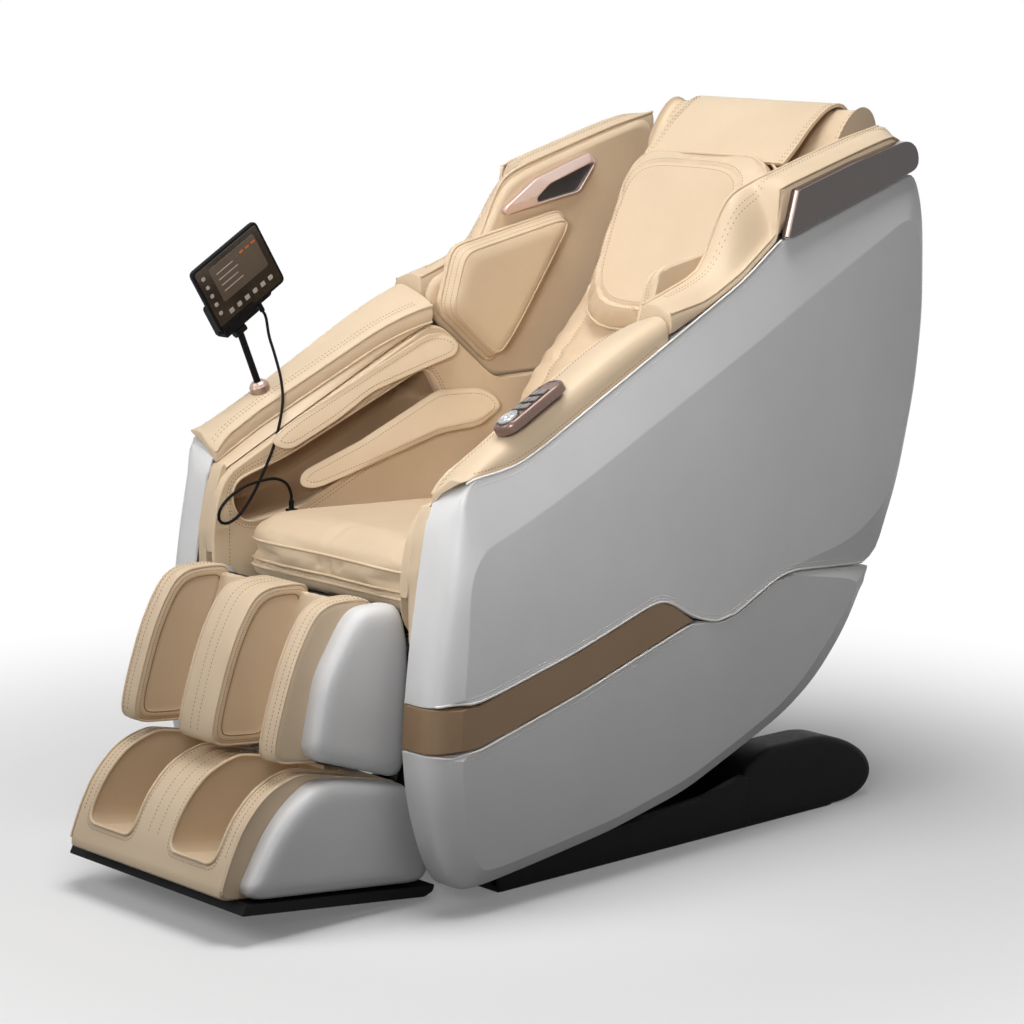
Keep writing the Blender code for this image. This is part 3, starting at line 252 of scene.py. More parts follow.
streaks, streaks_in, streaks_out = make_group("fine_streaks", [("Streaks per metre", 900.0)],
                                              ["Height", "Shine"])
lines = texture(streaks, "ShaderNodeTexNoise", streaks_in.outputs[0], Detail=3.0)
broad = texture(streaks, "ShaderNodeTexNoise", 60.0, Detail=2.0)
streaks.links.new(lines.outputs["Fac"], streaks_out.inputs["Height"])
streaks.links.new(broad.outputs["Fac"], streaks_out.inputs["Shine"])
print("groups", [group.name for group in bpy.data.node_groups])

# %% [markdown]
# ### One recipe for every finish
# All finishes are the same short recipe: a tone that drifts between two colours, a roughness that moves
# in a narrow band, and a bump from grain or streaks. Sheen and coat are plain numbers on the shader, so
# they are set there.

# %% Materials
FINISH = {}


def finish(name, light, dark, rough, group, size, depth, patches=5.0, metal=0.0, coat=0.0, sheen=0.0,
           glint=0.5):
    made = bpy.data.materials.new(name)
    made.use_nodes = True
    tree = made.node_tree
    shader = tree.nodes["Principled BSDF"]
    shader.inputs["Metallic"].default_value = metal
    shader.inputs["Specular IOR Level"].default_value = glint
    shader.inputs["Coat Weight"].default_value = coat
    shader.inputs["Coat Roughness"].default_value = 0.12
    shader.inputs["Sheen Weight"].default_value = sheen
    shader.inputs["Sheen Roughness"].default_value = 0.4

    tone = tree.nodes.new("ShaderNodeGroup")
    tone.node_tree = drift
    tone.inputs[0].default_value = patches
    ramp = tree.nodes.new("ShaderNodeValToRGB")
    ramp.color_ramp.elements[0].position = 0.3
    ramp.color_ramp.elements[1].position = 0.7
    ramp.color_ramp.elements[0].color = dark
    ramp.color_ramp.elements[1].color = light
    tree.links.new(tone.outputs["Tone"], ramp.inputs["Fac"])
    tree.links.new(ramp.outputs["Color"], shader.inputs["Base Color"])

    surface = tree.nodes.new("ShaderNodeGroup")
    surface.node_tree = group
    surface.inputs[0].default_value = size
    band = spread_over(tree, surface.outputs["Shine"], *rough)
    tree.links.new(band.outputs["Result"], shader.inputs["Roughness"])
    bump = tree.nodes.new("ShaderNodeBump")
    bump.inputs["Strength"].default_value = 1.0
    bump.inputs["Distance"].default_value = depth
    tree.links.new(surface.outputs["Height"], bump.inputs["Height"])
    tree.links.new(bump.outputs["Normal"], shader.inputs["Normal"])
    FINISH[name] = made
    return made


finish("beige_leather", tint(214, 192, 163), tint(206, 183, 153), (0.42, 0.58), grain, 520.0, 0.00012,
       sheen=0.06)
# Darker beige for the arm channel: painted shade for the deep recess behind the arm window.
finish("channel_painted_shade", tint(176, 147, 115), tint(164, 136, 106), (0.46, 0.6), grain, 620.0, 0.0001)
finish("white_leather", tint(222, 221, 221), tint(215, 214, 214), (0.34, 0.46), grain, 680.0, 0.00008,
       sheen=0.05)
finish("brown_stripe", tint(142, 115, 86), tint(133, 107, 79), (0.42, 0.54), grain, 620.0, 0.00008)
finish("brown_gloss", tint(76, 61, 55), tint(70, 55, 50), (0.16, 0.24), streaks, 700.0, 0.000004, coat=0.5)
finish("rose_metal", tint(176, 152, 140), tint(164, 140, 128), (0.28, 0.4), streaks, 1200.0, 0.00001,
       metal=0.85)
finish("pale_rose", tint(222, 200, 192), tint(212, 190, 181), (0.28, 0.4), streaks, 1200.0, 0.00001,
       metal=0.85)
finish("black_plastic", tint(14, 13, 14), tint(10, 10, 11), (0.5, 0.62), streaks, 1500.0, 0.00004, glint=0.12)
finish("frame_steel", tint(52, 52, 54), tint(44, 44, 46), (0.38, 0.5), streaks, 800.0, 0.00003, metal=0.3)
finish("bright_steel", tint(205, 205, 206), tint(188, 188, 190), (0.2, 0.32), streaks, 1400.0, 0.00001,
       metal=1.0)
finish("screen_glass", tint(34, 31, 29), tint(28, 25, 24), (0.07, 0.12), streaks, 400.0, 0.000002, coat=0.6)
finish("roller_rubber", tint(60, 60, 63), tint(50, 50, 53), (0.6, 0.75), streaks, 900.0, 0.00004)
finish("beige_thread", tint(158, 128, 96), tint(142, 112, 82), (0.6, 0.75), streaks, 2600.0, 0.00008)
finish("white_thread", tint(234, 231, 226), tint(222, 219, 214), (0.5, 0.65), streaks, 2600.0, 0.00008)
finish("speaker_mesh", tint(46, 46, 48), tint(34, 34, 36), (0.45, 0.6), streaks, 1800.0, 0.00006)
finish("screen_panel", tint(92, 80, 70), tint(80, 70, 62), (0.12, 0.2), streaks, 300.0, 0.000002, coat=0.5)
finish("sign_white", tint(176, 170, 162), tint(160, 154, 146), (0.2, 0.3), streaks, 300.0, 0.000002)
finish("sign_orange", tint(196, 104, 34), tint(184, 94, 28), (0.2, 0.3), streaks, 300.0, 0.000002)
finish("pod_bronze", tint(128, 104, 94), tint(114, 92, 84), (0.22, 0.34), streaks, 1200.0, 0.00001, metal=0.6)
for label, node in frame["nodes"].items():
    node.data.materials.clear()
    node.data.materials.append(FINISH[slot_of[label]])
print("finishes", len(FINISH))

# %% [markdown]
# ## From an outline to a piece
# Most pieces of this chair are cut to a side outline: shells, linings, calf pads, foot sides. So the
# outlines are written once, as heights over the length from the front of the arms, and a few helpers turn
# them into skins. A loop of vertices is bridged to the next one, which is how a pattern cutter would join
# two edges with a strip of leather.

# %% Places and widths from the frame
# The front of the arms, from which outlines are measured.
ARM_FRONT = -0.345
SHELL_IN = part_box("left_outer_upper_panel")[0].x
SHELL_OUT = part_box("left_outer_upper_panel")[1].x
SHELL_EDGE = SHELL_OUT - 0.018                          # where the shell's rim turns into its side
LINING_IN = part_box("left_inner_panel")[0].x
LINING_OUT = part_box("left_inner_panel")[1].x
SEAT_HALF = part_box("seat_cushion")[1].x
LEG_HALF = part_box("left_calf_side")[1].x
LEG_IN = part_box("left_calf_side")[0].x                  # inner face of the white calf and foot sides
TO_SITTER = Vector((-1, 0, 0))                          # from outside towards the middle, on the left side
TO_SIDE = Vector((1, 0, 0))
DOWN = Vector((0, 0, -1))
REARWARD = Vector((0, 1, 0))


def at(x, y, z):
    """A point in the chair's frame, with y measured from the front of the arms."""
    return Vector((x, y + ARM_FRONT, z))


def arm_z(y, x):
    """Height of the arm top: up to the rear, lower towards the sitter, with a little sag before the wing."""
    sag = 0.012 * min(1, max(0, (y - 0.30) / 0.145)) ** 2
    return 0.697 + 0.5255 * y - sag - (0.25 + 8 * sag) * (SHELL_EDGE - abs(x))


SEAM = [(0.0, 0.690), (0.100, 0.701), (0.150, 0.719), (0.400, 0.846), (0.610, 0.953), (0.697, 1.0148)]


def along_line(line, y):
    """The height at y of a line through (y, z) points."""
    return float(np.interp(y, *zip(*line)))


def seam_z(y):
    """Height of the white shell's top seam: level round the front of the arm, then up to the trim."""
    return along_line(SEAM, y)


print("shell", round(SHELL_IN, 4), round(SHELL_OUT, 4), "lining", round(LINING_IN, 4))

# %% Rounded outlines and bridged skins


def rounded(points, radius, steps=4):
    """Rounds the corners of a closed outline: by a third number of their own, or by a common radius."""
    made = []
    for i, corner in enumerate(points):
        reach = corner[2] if len(corner) > 2 else radius
        corner = Vector(corner[:2])
        before = Vector(points[i - 1][:2]) - corner
        after = Vector(points[(i + 1) % len(points)][:2]) - corner
        start = corner + before.normalized() * min(reach, before.length * 0.48)
        end = corner + after.normalized() * min(reach, after.length * 0.48)
        for step in range(steps + 1):
            t = step / steps
            made.append(start * (1 - t) ** 2 + corner * 2 * t * (1 - t) + end * t * t)
    return made


def shrunk(points, distance):
    """A counter-clockwise outline, moved in by a distance."""
    moved = []
    for i, corner in enumerate(points):
        corner = Vector(corner)
        before = (corner - Vector(points[i - 1])).normalized()
        after = (Vector(points[(i + 1) % len(points)]) - corner).normalized()
        inward = Vector((-before.y - after.y, before.x + after.x)).normalized()
        share = max(0.6, inward.dot(Vector((-before.y, before.x))))
        moved.append(corner + inward * (distance / share))
    return moved


def even(points, spacing, closed=False):
    """Evenly spaced points along a line."""
    points = [Vector(point) for point in points]
    if closed:
        points.append(points[0])
    lengths = [(b - a).length for a, b in zip(points, points[1:])]
    count = max(2, round(sum(lengths) / spacing))
    made = []
    reach, walked = 0, 0.0
    for i in range(count + (not closed)):
        target = sum(lengths) * i / count
        while reach < len(lengths) - 1 and walked + lengths[reach] < target:
            walked += lengths[reach]
            reach += 1
        share = (target - walked) / max(lengths[reach], 1e-9)
        made.append(points[reach].lerp(points[reach + 1], min(share, 1)))
    return made


def drawn_in(points, distance):
    """An outline moved in by small steps and smoothed at each, so that tight corners don't cross."""
    steps = math.ceil(abs(distance) / 0.0015)
    for _ in range(steps):
        points = shrunk(points, distance / steps)
        around = zip(points[-1:] + points[:-1], points, points[1:] + points[:1])
        points = [here * 0.6 + (before + after) * 0.2 for before, here, after in around]
        whole = sum((b - a).length for a, b in zip(points, points[1:] + points[:1]))
        points = even(points, whole / len(points), True)
    return points


def in_side_view(outline, x):
    return [at(x, y, z) for y, z in outline]


def bridged(loops, close=(True, True)):
    """One skin through closed loops of points, with its end loops filled where asked."""
    bm = bmesh.new()
    rings = []
    for points in loops:
        verts = [bm.verts.new(point) for point in points]
        rings.append([bm.edges.new(pair) for pair in zip(verts, verts[1:] + verts[:1])])
    for low, high in zip(rings, rings[1:]):
        bmesh.ops.bridge_loops(bm, edges=low + high)
    for ring, wanted in zip((rings[0], rings[-1]), close):
        if wanted:
            bmesh.ops.contextual_create(bm, geom=ring)
    bmesh.ops.recalc_face_normals(bm, faces=bm.faces)
    return bm


def layered(outline, rows, close=(True, True)):
    """One skin through copies of a side outline, given as rows of how far each is drawn in, and its x."""
    return bridged([in_side_view(drawn_in(outline, d), x) for d, x in rows], close)


def rolled_bar(outline, x_from, x_to, turn, roll, cuts=0):
    """An outline drawn across from one x to another, with its side edges rolled over."""
    outline = even(rounded(outline, turn), 0.008, True)
    rows = [(roll, 0.0), (roll * 0.45, roll * 0.12), (roll * 0.12, roll * 0.45), (0.0, roll)]
    loops = [(d, x_from + w) for d, w in rows]
    loops += [(0.0, x_from + roll + (x_to - x_from - 2 * roll) * cut / (cuts + 1))
              for cut in range(1, cuts + 1)]
    loops += [(d, x_to - w) for d, w in rows[::-1]]
    return layered(outline, loops)


def soften(bm, edges, width, segments=3):
    bmesh.ops.bevel(bm, geom=list(edges), affect="EDGES", offset=width, offset_type="OFFSET",
                    segments=segments, profile=0.5, material=-1, clamp_overlap=True)


def sharp_edges(bm, degrees=35):
    return [e for e in bm.edges if len(e.link_faces) == 2 and e.calc_face_angle(0) > math.radians(degrees)]


def absorb(bm, other):
    """Adds another form to this one."""
    mesh = bpy.data.meshes.new("added")
    other.to_mesh(mesh)
    other.free()
    bm.from_mesh(mesh)
    bpy.data.meshes.remove(mesh)


def mirrored(bm):
    """The same form for the chair's other side."""
    copy = bm.copy()
    bmesh.ops.scale(copy, vec=(-1, 1, 1), verts=copy.verts)
    bmesh.ops.reverse_faces(copy, faces=copy.faces)
    return copy


# %% [markdown]
# ### Modifiers as tools, and pieces on their bodies
# A remesh or a subdivision is a modifier in Blender. Here it is run on a short-lived object and read
# back, so that seams can be laid on the finished skin. A piece is then named, given its finish, and set
# to ride on its body.

# %% Running modifiers, showing pieces


def through(bm, *steps):
    """The form after modifiers, each given as its type and its settings."""
    holder = placed("form", bm)
    mesh = holder.data
    for kind, settings in steps:
        step = holder.modifiers.new(kind.lower(), kind)
        for label, value in settings.items():
            setattr(step, label, value)
    bpy.context.view_layer.update()
    done = bpy.data.meshes.new_from_object(holder.evaluated_get(bpy.context.evaluated_depsgraph_get()))
    bpy.data.objects.remove(holder)
    bpy.data.meshes.remove(mesh)
    made = bmesh.new()
    made.from_mesh(done)
    bpy.data.meshes.remove(done)
    return made


def subdivided(bm, levels=2):
    return through(bm, ("SUBSURF", {"levels": levels, "render_levels": levels}))


def remeshed(bm, voxel):
    return through(bm, ("REMESH", {"mode": "VOXEL", "voxel_size": voxel}))


def show(name, bm, look, body, stands_for=(), angle=40):
    """Makes a form into a named piece with a finish, riding on a body."""
    bmesh.ops.remove_doubles(bm, verts=bm.verts, dist=1e-6)
    piece = placed(name, bm)
    piece.data.shade_smooth()
    piece.data.set_sharp_from_angle(angle=math.radians(angle))
    piece.data.materials.append(FINISH[look])
    even_shading = piece.modifiers.new("even_shading", "WEIGHTED_NORMAL")
    even_shading.keep_sharp = True
    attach(piece, body)
    if stands_for:
        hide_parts(*stands_for)
    print(name, "faces", len(piece.data.polygons))


def show_pair(name, bm, look, body, node_end=None, angle=40):
    """Shows a left form and its mirror image, in place of the left and right nodes if there are such."""
    for side, form in (("left", bm.copy()), ("right", mirrored(bm))):
        show(f"{side}_{name}", form, look, body, (f"{side}_{node_end}",) if node_end else (), angle)
    bm.free()


# %% [markdown]
# ### Piping and stitches
# Every seam on the chair is marked twice: by a round piping or welt, and by rows of thread beside it.
# Both follow a guide line that is laid on the finished skin by casting rays at it, as a pattern is
# chalked on before sewing. The stitches are small rounded shapes of few faces, because there are
# thousands.

# %% Laying lines on a skin, piping and thread
sewn = {}


def laid(bm, guide, toward, spacing=0.0065, closed=False):
    """A guide line on a skin: each point goes along a direction until it meets the skin."""
    tree = BVHTree.FromBMesh(bm)
    hits = [tree.ray_cast(point, toward) for point in even(guide, spacing, closed)]
    return [(hit[0], hit[1]) for hit in hits if hit[0] is not None]


def pinned(bm, points):
    """The nearest places on a skin, with its normals."""
    tree = BVHTree.FromBMesh(bm)
    return [tuple(tree.find_nearest(point)[:2]) for point in points]


def keep_sewn(mesh, body, look, both):
    sewn.setdefault((body, look), []).append(mesh)
    if both:
        other = bmesh.new()
        other.from_mesh(mesh)
        turned = mirrored(other)
        copy = bpy.data.meshes.new("other_side")
        turned.to_mesh(copy)
        turned.free()
        other.free()
        sewn[(body, look)].append(copy)


def stitch(line, body, look="beige_thread", length=0.0045, width=0.0015, both=False):
    """A row of stitches along a laid line."""
    row = bmesh.new()
    for i, (place, normal) in enumerate(line):
        along = (line[min(i + 1, len(line) - 1)][0] - line[max(i - 1, 0)][0])
        if along.length < 1e-6 or along.length > 0.06:
            continue
        along = (along - normal * along.dot(normal)).normalized()
        across = normal.cross(along)
        turn = Matrix((along, across, normal)).transposed().to_4x4()
        size = Matrix.Diagonal((length / 2, width / 2, width / 2, 1))
        bmesh.ops.create_icosphere(row, subdivisions=1, radius=1,
                                   matrix=Matrix.Translation(place) @ turn @ size)
    mesh = bpy.data.meshes.new("row")
    row.to_mesh(mesh)
    row.free()
    keep_sewn(mesh, body, look, both)


def pipe(points, radius, body, look="beige_leather", closed=False, both=False):
    """A round piping along points."""
    curve = bpy.data.curves.new("piping", "CURVE")
    curve.dimensions = "3D"
    curve.bevel_depth = radius
    curve.bevel_resolution = 2
    curve.use_fill_caps = True
    spline = curve.splines.new("POLY")
    spline.points.add(len(points) - 1)
    for target, point in zip(spline.points, points):
        target.co = (*point, 1)
    spline.use_cyclic_u = closed
    holder = bpy.data.objects.new("piping", curve)
    scene.collection.objects.link(holder)
    bpy.context.view_layer.update()
    mesh = bpy.data.meshes.new_from_object(holder.evaluated_get(bpy.context.evaluated_depsgraph_get()))
    bpy.data.objects.remove(holder)
    keep_sewn(mesh, body, look, both)


def pipe_on(bm, guide, toward, radius, body, look="beige_leather", sink=0.3, closed=False, both=False):
    """A piping laid on a skin, sunk in it by a share of its radius."""
    line = laid(bm, guide, toward, 0.008, closed)
    pipe([place + normal * radius * (1 - 2 * sink) for place, normal in line], radius, body, look, closed,
         both)


def press(bm, line, width, depth):
    """Presses a sewn channel into a skin along laid points."""
    marks = np.array([place for place, _ in line])
    for vert in bm.verts:
        near = np.min(np.sum((marks - np.array(vert.co)) ** 2, axis=1)) ** 0.5
        if near < width * 2:
            vert.co -= vert.normal * depth * math.exp(-(near / width) ** 2 * 2)


print("helpers ready")

# %% [markdown]
# ## Tablet cable
# The cable is a soft 5 mm lead. It leaves the plug under the tablet, hangs down over the arm, makes a
# loose loop and goes into a small socket on the side lining. It is drawn as one smooth curve through
# given points. Its top end would have to follow the stalk when that turns, but the tube is one fixed
# piece that rides on no body.

# %% Tablet cable
CABLE_R = 0.0025
tablet_tilt = Matrix.Rotation(math.radians(31), 3, "X")
tablet_down = tablet_tilt @ Vector((0, 0, -1))
plug_end = at(-0.306, 0.075, 0.945) + tablet_tilt @ Vector((0, 0.014, -0.061 - 0.018)) + tablet_down * 0.00045
gland_top = at(-LINING_IN + 0.007, 0.125, 0.5723)
HAND_SET = [(-0.300, 0.136, 0.842), (-0.288, 0.138, 0.812), (-0.269, 0.135, 0.776), (-0.252, 0.126, 0.742),
            (-0.240, 0.110, 0.706), (-0.232, 0.090, 0.668), (-0.231, 0.066, 0.625), (-0.231, 0.040, 0.586),
            (-0.231, 0.014, 0.560), (-0.231, -0.010, 0.550), (-0.229, -0.027, 0.557), (-0.226, -0.028, 0.575),
            (-0.224, -0.010, 0.594), (-0.224, 0.020, 0.608), (-0.224, 0.054, 0.614), (-0.226, 0.088, 0.614),
            (-0.229, 0.114, 0.602)]
route = [plug_end, plug_end + tablet_down * 0.013] + [at(*point) for point in HAND_SET]
route += [gland_top + Vector((0, 0, 0.010)), gland_top]


def smooth_line(points, cuts=10):
    """A smooth line through its own points."""
    made = []
    ends = [2 * points[0] - points[1]] + points + [2 * points[-1] - points[-2]]
    for p0, p1, p2, p3 in zip(ends, ends[1:], ends[2:], ends[3:]):
        for step in range(cuts):
            t = step / cuts
            made.append(0.5 * (2 * p1 + (p2 - p0) * t + (2 * p0 - 5 * p1 + 4 * p2 - p3) * t * t
                               + (3 * p1 - p0 - 3 * p2 + p3) * t ** 3))
    return made + [points[-1]]


def tube(points, radius, sides=12):
    """A round tube: a circle is carried along the points, and each copy is bridged to the one before."""
    loops = []
    last = None
    for i, point in enumerate(points):
        along = (points[min(i + 1, len(points) - 1)] - points[max(i - 1, 0)]).normalized()
        side = last - along * last.dot(along) if last else along.orthogonal()
        last = side.normalized()
        turn = Matrix((last, along.cross(last), along)).transposed()
        angles = [2 * math.pi * step / sides for step in range(sides)]
        loops.append([point + turn @ Vector((radius * math.cos(a), radius * math.sin(a), 0)) for a in angles])
    return bridged(loops)


cable_line = even(smooth_line(route), 0.008)
lead = placed("tablet_lead", tube(cable_line, CABLE_R))
lead.data.shade_smooth()
lead.data.materials.append(FINISH["black_plastic"])
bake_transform(lead)
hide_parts("tablet_cable")
print("cable", round(sum((b - a).length for a, b in zip(cable_line, cable_line[1:])), 4), "m")

# %% [markdown]
# ## Outer shells
# Each side is three moulded boards covered in pearl white and brown leather. A panel is a chain of loops:
# the rim, a round at the edge, and the flat face. The round is wide along the front. Along the two seams
# the faces run flush into each other, and along the other edges they fold back. The shell is a thin skin,
# so it gets a wall and not a block.

# %% Shell outlines
UPPER_SEAM = [(0.020, 0.346), (0.230, 0.398), (0.405, 0.454), (0.440, 0.441), (0.486, 0.412), (0.556, 0.394),
              (0.700, 0.462)]
UPPER = UPPER_SEAM + [(0.935, 0.444), (0.994, 0.583), (1.034, 0.740), (1.050, 0.870), (1.046, 1.030),
                      (1.032, 1.085), (1.012, 1.112), (0.850, 1.0638)]
UPPER += SEAM[::-1] + [(-0.028, 0.560), (-0.050, 0.430), (-0.060, 0.346, 0.002)]
UPPER_FACE = [(-0.012, 0.3492), (0.022, 0.3492), (0.2295, 0.4012), (0.4045, 0.4575), (0.443, 0.4440),
              (0.488, 0.4155), (0.556, 0.3980), (0.700, 0.4665), (0.860, 0.4970), (0.955, 0.556),
              (1.000, 0.700), (1.022, 0.820), (1.026, 0.930), (1.020, 1.000, 0.02), (0.990, 1.032, 0.02),
              (0.843, 0.960), (0.632, 0.853), (0.447, 0.765), (0.271, 0.680), (0.135, 0.620),
              (0.030, 0.580, 0.02), (0.004, 0.540), (0.0, 0.430)]
LOW_SEAM = [(-0.066, 0.274), (0.018, 0.275), (0.230, 0.330), (0.486, 0.410)]
STRIPE = LOW_SEAM + [(0.440, 0.4406), (0.405, 0.4536), (0.230, 0.3976), (0.020, 0.3456), (-0.060, 0.3456)]
STRIPE_FACE = [(-0.016, 0.2772), (0.018, 0.2780), (0.229, 0.3330), (0.470, 0.4085), (0.4385, 0.4378),
               (0.4045, 0.4504), (0.2305, 0.3944), (0.0205, 0.3424), (-0.012, 0.3424)]
LOWER = [(-0.0655, 0.273, 0.002), (-0.058, 0.190), (-0.032, 0.100), (-0.003, 0.047), (0.030, 0.042),
         (0.156, 0.056), (0.330, 0.078), (0.502, 0.114), (0.667, 0.179), (0.740, 0.210), (0.813, 0.259),
         (0.880, 0.335), (0.9295, 0.431), (0.930, 0.4415), (0.700, 0.461), (0.556, 0.3936), (0.487, 0.4097),
         (0.230, 0.3292), (0.018, 0.2742)]
LOWER_FACE = [(-0.016, 0.2708), (-0.004, 0.190), (0.012, 0.120), (0.026, 0.085), (0.050, 0.072),
              (0.156, 0.084), (0.330, 0.106), (0.495, 0.143), (0.650, 0.205), (0.715, 0.235),
              (0.775, 0.280), (0.840, 0.350), (0.885, 0.405), (0.880, 0.424), (0.700, 0.4572),
              (0.556, 0.3898), (0.487, 0.4062), (0.230, 0.3258), (0.018, 0.2708)]
SHELL_WALL = 0.004
RIM_DROP = 0.25 * (SHELL_EDGE - SHELL_IN)               # the rim dips towards the sitter, as the arm does
FRONT_ROUND = 0.034                                     # size of the round along the front
# The lower panel draws in towards the floor by this slope.
LOWER_LEAN = 0.06
print("outline points", len(UPPER), len(STRIPE), len(LOWER))

# %% Shell panels


def seam_gap(y, z):
    """Height between a point and the nearer one of the two seams that cross the shell."""
    return min(abs(z - along_line(line, y)) for line in (UPPER_SEAM + [(0.935, 0.444)], LOW_SEAM))


def edge_x(y, z):
    """Where a panel's edge lies across: flush with its face along the seams, folded back elsewhere."""
    if seam_gap(y, z) > 0.006:
        return SHELL_EDGE
    front = min(1, max(0, (y + 0.062) / 0.085))
    rear = min(1, max(0, (0.95 - y) / 0.22))
    return SHELL_EDGE + (SHELL_OUT - 0.0012 - SHELL_EDGE) * front * (2 - front) * rear


def edge_round(y, z):
    front = min(1, max(0, (0.06 - y) / 0.06))
    low = min(1, max(0, (seam_z(y) - z) / 0.05), max(0.3, (z - 0.03) / 0.12))
    return 0.004 + (FRONT_ROUND - 0.004) * front * low


def filled(points, spacing):
    """An outline with more points on its long sides."""
    made = []
    for start, end in zip(points, points[1:] + points[:1]):
        count = max(1, round((end - start).length / spacing))
        made += [start.lerp(end, step / count) for step in range(count)]
    return made


def onto(line, point):
    """The nearest place on a closed outline."""
    places = []
    for start, end in zip(line, line[1:] + line[:1]):
        place, share = intersect_point_line(point, start, end)
        places.append(start.lerp(end, min(1, max(0, share))))
    return min(places, key=lambda place: (place - point).length)


def shell_panel(outline, face, turn, lean=0.0):
    outline = filled(rounded(outline, turn), 0.025)
    face = rounded(face, turn)

    def drawn_back(y, z):
        return lean * max(0, 0.2695 + 0.288 * y - z)

    rim, edge, skin = [], [], []
    for y, z in outline:
        rim.append(at(SHELL_IN, y, z - RIM_DROP if z > seam_z(y) - 0.045 else z))
        edge.append(at(edge_x(y, z) - drawn_back(y, z), y, z))
        near_y, near_z = onto(face, Vector((y, z)))
        skin.append(at(SHELL_OUT - drawn_back(near_y, near_z), near_y, near_z))
    loops = [rim]
    for step in range(7):
        t = step / 6
        ring = []
        for inner, corner, outer in zip(rim, edge, skin):
            reach = edge_round(corner.y - ARM_FRONT, corner.z)
            start = corner + (inner - corner).normalized() * reach
            end = corner.lerp(outer, min(0.9, reach / max((outer - corner).length, 1e-6)))
            ring.append(start * (1 - t) ** 2 + corner * 2 * t * (1 - t) + end * t * t)
        loops.append(ring)
    crease = [corner.lerp(outer, 0.94) for corner, outer in zip(edge, skin)]
    bm = bridged(loops + [crease, skin], close=(False, False))
    bmesh.ops.remove_doubles(bm, verts=bm.verts, dist=1e-5)
    middle = (SHELL_IN + SHELL_OUT) / 2
    mouth = [e for e in bm.edges if e.is_boundary and all(v.co.x > middle for v in e.verts)]
    bmesh.ops.contextual_create(bm, geom=mouth)
    bmesh.ops.recalc_face_normals(bm, faces=bm.faces)
    return through(bm, ("SOLIDIFY", {"thickness": SHELL_WALL, "offset": -1}))


upper_panel = shell_panel(UPPER, UPPER_FACE, 0.045)
stripe_panel = shell_panel(STRIPE, STRIPE_FACE, 0.003)
lower_panel = shell_panel(LOWER, LOWER_FACE, 0.040, LOWER_LEAN)

# %% [markdown]
# ### Welts on the shell
# Where two panels meet, the covering is turned in over a cord: that is the welt. Rows of white thread run
# a little above and below it.

# %% Shell welts and thread
WELT_R = 0.0022
FAR_OUT = 0.5


def welt(panel, line, look):
    """A cord on the edge of a panel, along (y, z) points."""
    guide = even([Vector((0, y, z)) for y, z in line], 0.012)
    places = pinned(panel, [at(edge_x(p.y, p.z) + 0.004, p.y, p.z) for p in guide])
    pipe([place for place, _ in places], WELT_R, "chassis", look, both=True)


s_seam = rounded([(-0.060, 0.3460)] + UPPER_SEAM[:-1] + [(0.700, 0.4620), (0.934, 0.4440)], 0.03)[4:-4]
welt(upper_panel, [(-0.060, 0.3460)] + s_seam, "white_thread")
low_seam = [(y, z - 0.0006) for y, z in LOW_SEAM]
welt(lower_panel, low_seam, "white_thread")
top_seam = rounded([(-0.010, 0.660)] + SEAM + [(0.75, 1.04)], 0.04)[7:-7]
pipe([at(SHELL_EDGE + 0.0005, y, z + 0.001) for y, z in top_seam], WELT_R, "chassis", "white_thread",
     both=True)


def beside(line, rise):
    """A line of (y, z) points moved up by a distance, for a row of stitches beside a seam."""
    return [at(FAR_OUT, y, z + rise) for y, z in line]


for rise in (0.007, 0.012):
    stitch(laid(upper_panel, beside(s_seam[2:], rise), TO_SITTER, 0.0065), "chassis", "white_thread",
           both=True)
    stitch(laid(lower_panel, beside(low_seam, -rise), TO_SITTER, 0.0065), "chassis", "white_thread",
           both=True)
stitch(laid(upper_panel, beside(top_seam, -0.011), TO_SITTER, 0.0065), "chassis", "white_thread", both=True)
show_pair("shell_upper", upper_panel, "white_leather", "chassis", "outer_upper_panel")
show_pair("shell_stripe", stripe_panel, "brown_stripe", "chassis", "outer_stripe")
show_pair("shell_lower", lower_panel, "white_leather", "chassis", "outer_lower_panel")

# %% [markdown]
# ### Wing trim
# Behind the arm a gloss brown strip covers the shell's top edge. It is one moulded bar with rounded
# edges, and a thin bright strip closes its front end.

# %% Wing trim
TRIM = [(0.697, 1.0178, 0.004), (0.860, 1.0680), (1.014, 1.1160, 0.02), (1.010, 1.150, 0.02),
        (0.985, 1.165, 0.02), (0.860, 1.135), (0.719, 1.095, 0.004)]
TRIM_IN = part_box("left_wing_trim")[0].x
trim_loops = [in_side_view(rounded(TRIM, 0.010), x) for x in (TRIM_IN, SHELL_OUT)]
trim = bridged(trim_loops)
soften(trim, sharp_edges(trim, 60), 0.0035)
show_pair("gloss_trim", trim, "brown_gloss", "chassis", "wing_trim")
strip_line = [at(SHELL_OUT - 0.006, 0.6965, 1.0195), at(SHELL_OUT - 0.006, 0.7185, 1.0935)]
pipe(strip_line, 0.0042, "chassis", "pale_rose", both=True)

# %% [markdown]
# ## Padding that swells
# A cushion is foam under a tight cover. Its faces crown and its sides pull in between the corners.
# Blender's Cloth with a pressure inside gives that: the form starts a little small, is remeshed into even
# squares, and swells for twenty frames. A cap holds each point near its start, so that a pad stays in its
# place.

# %% Swelling


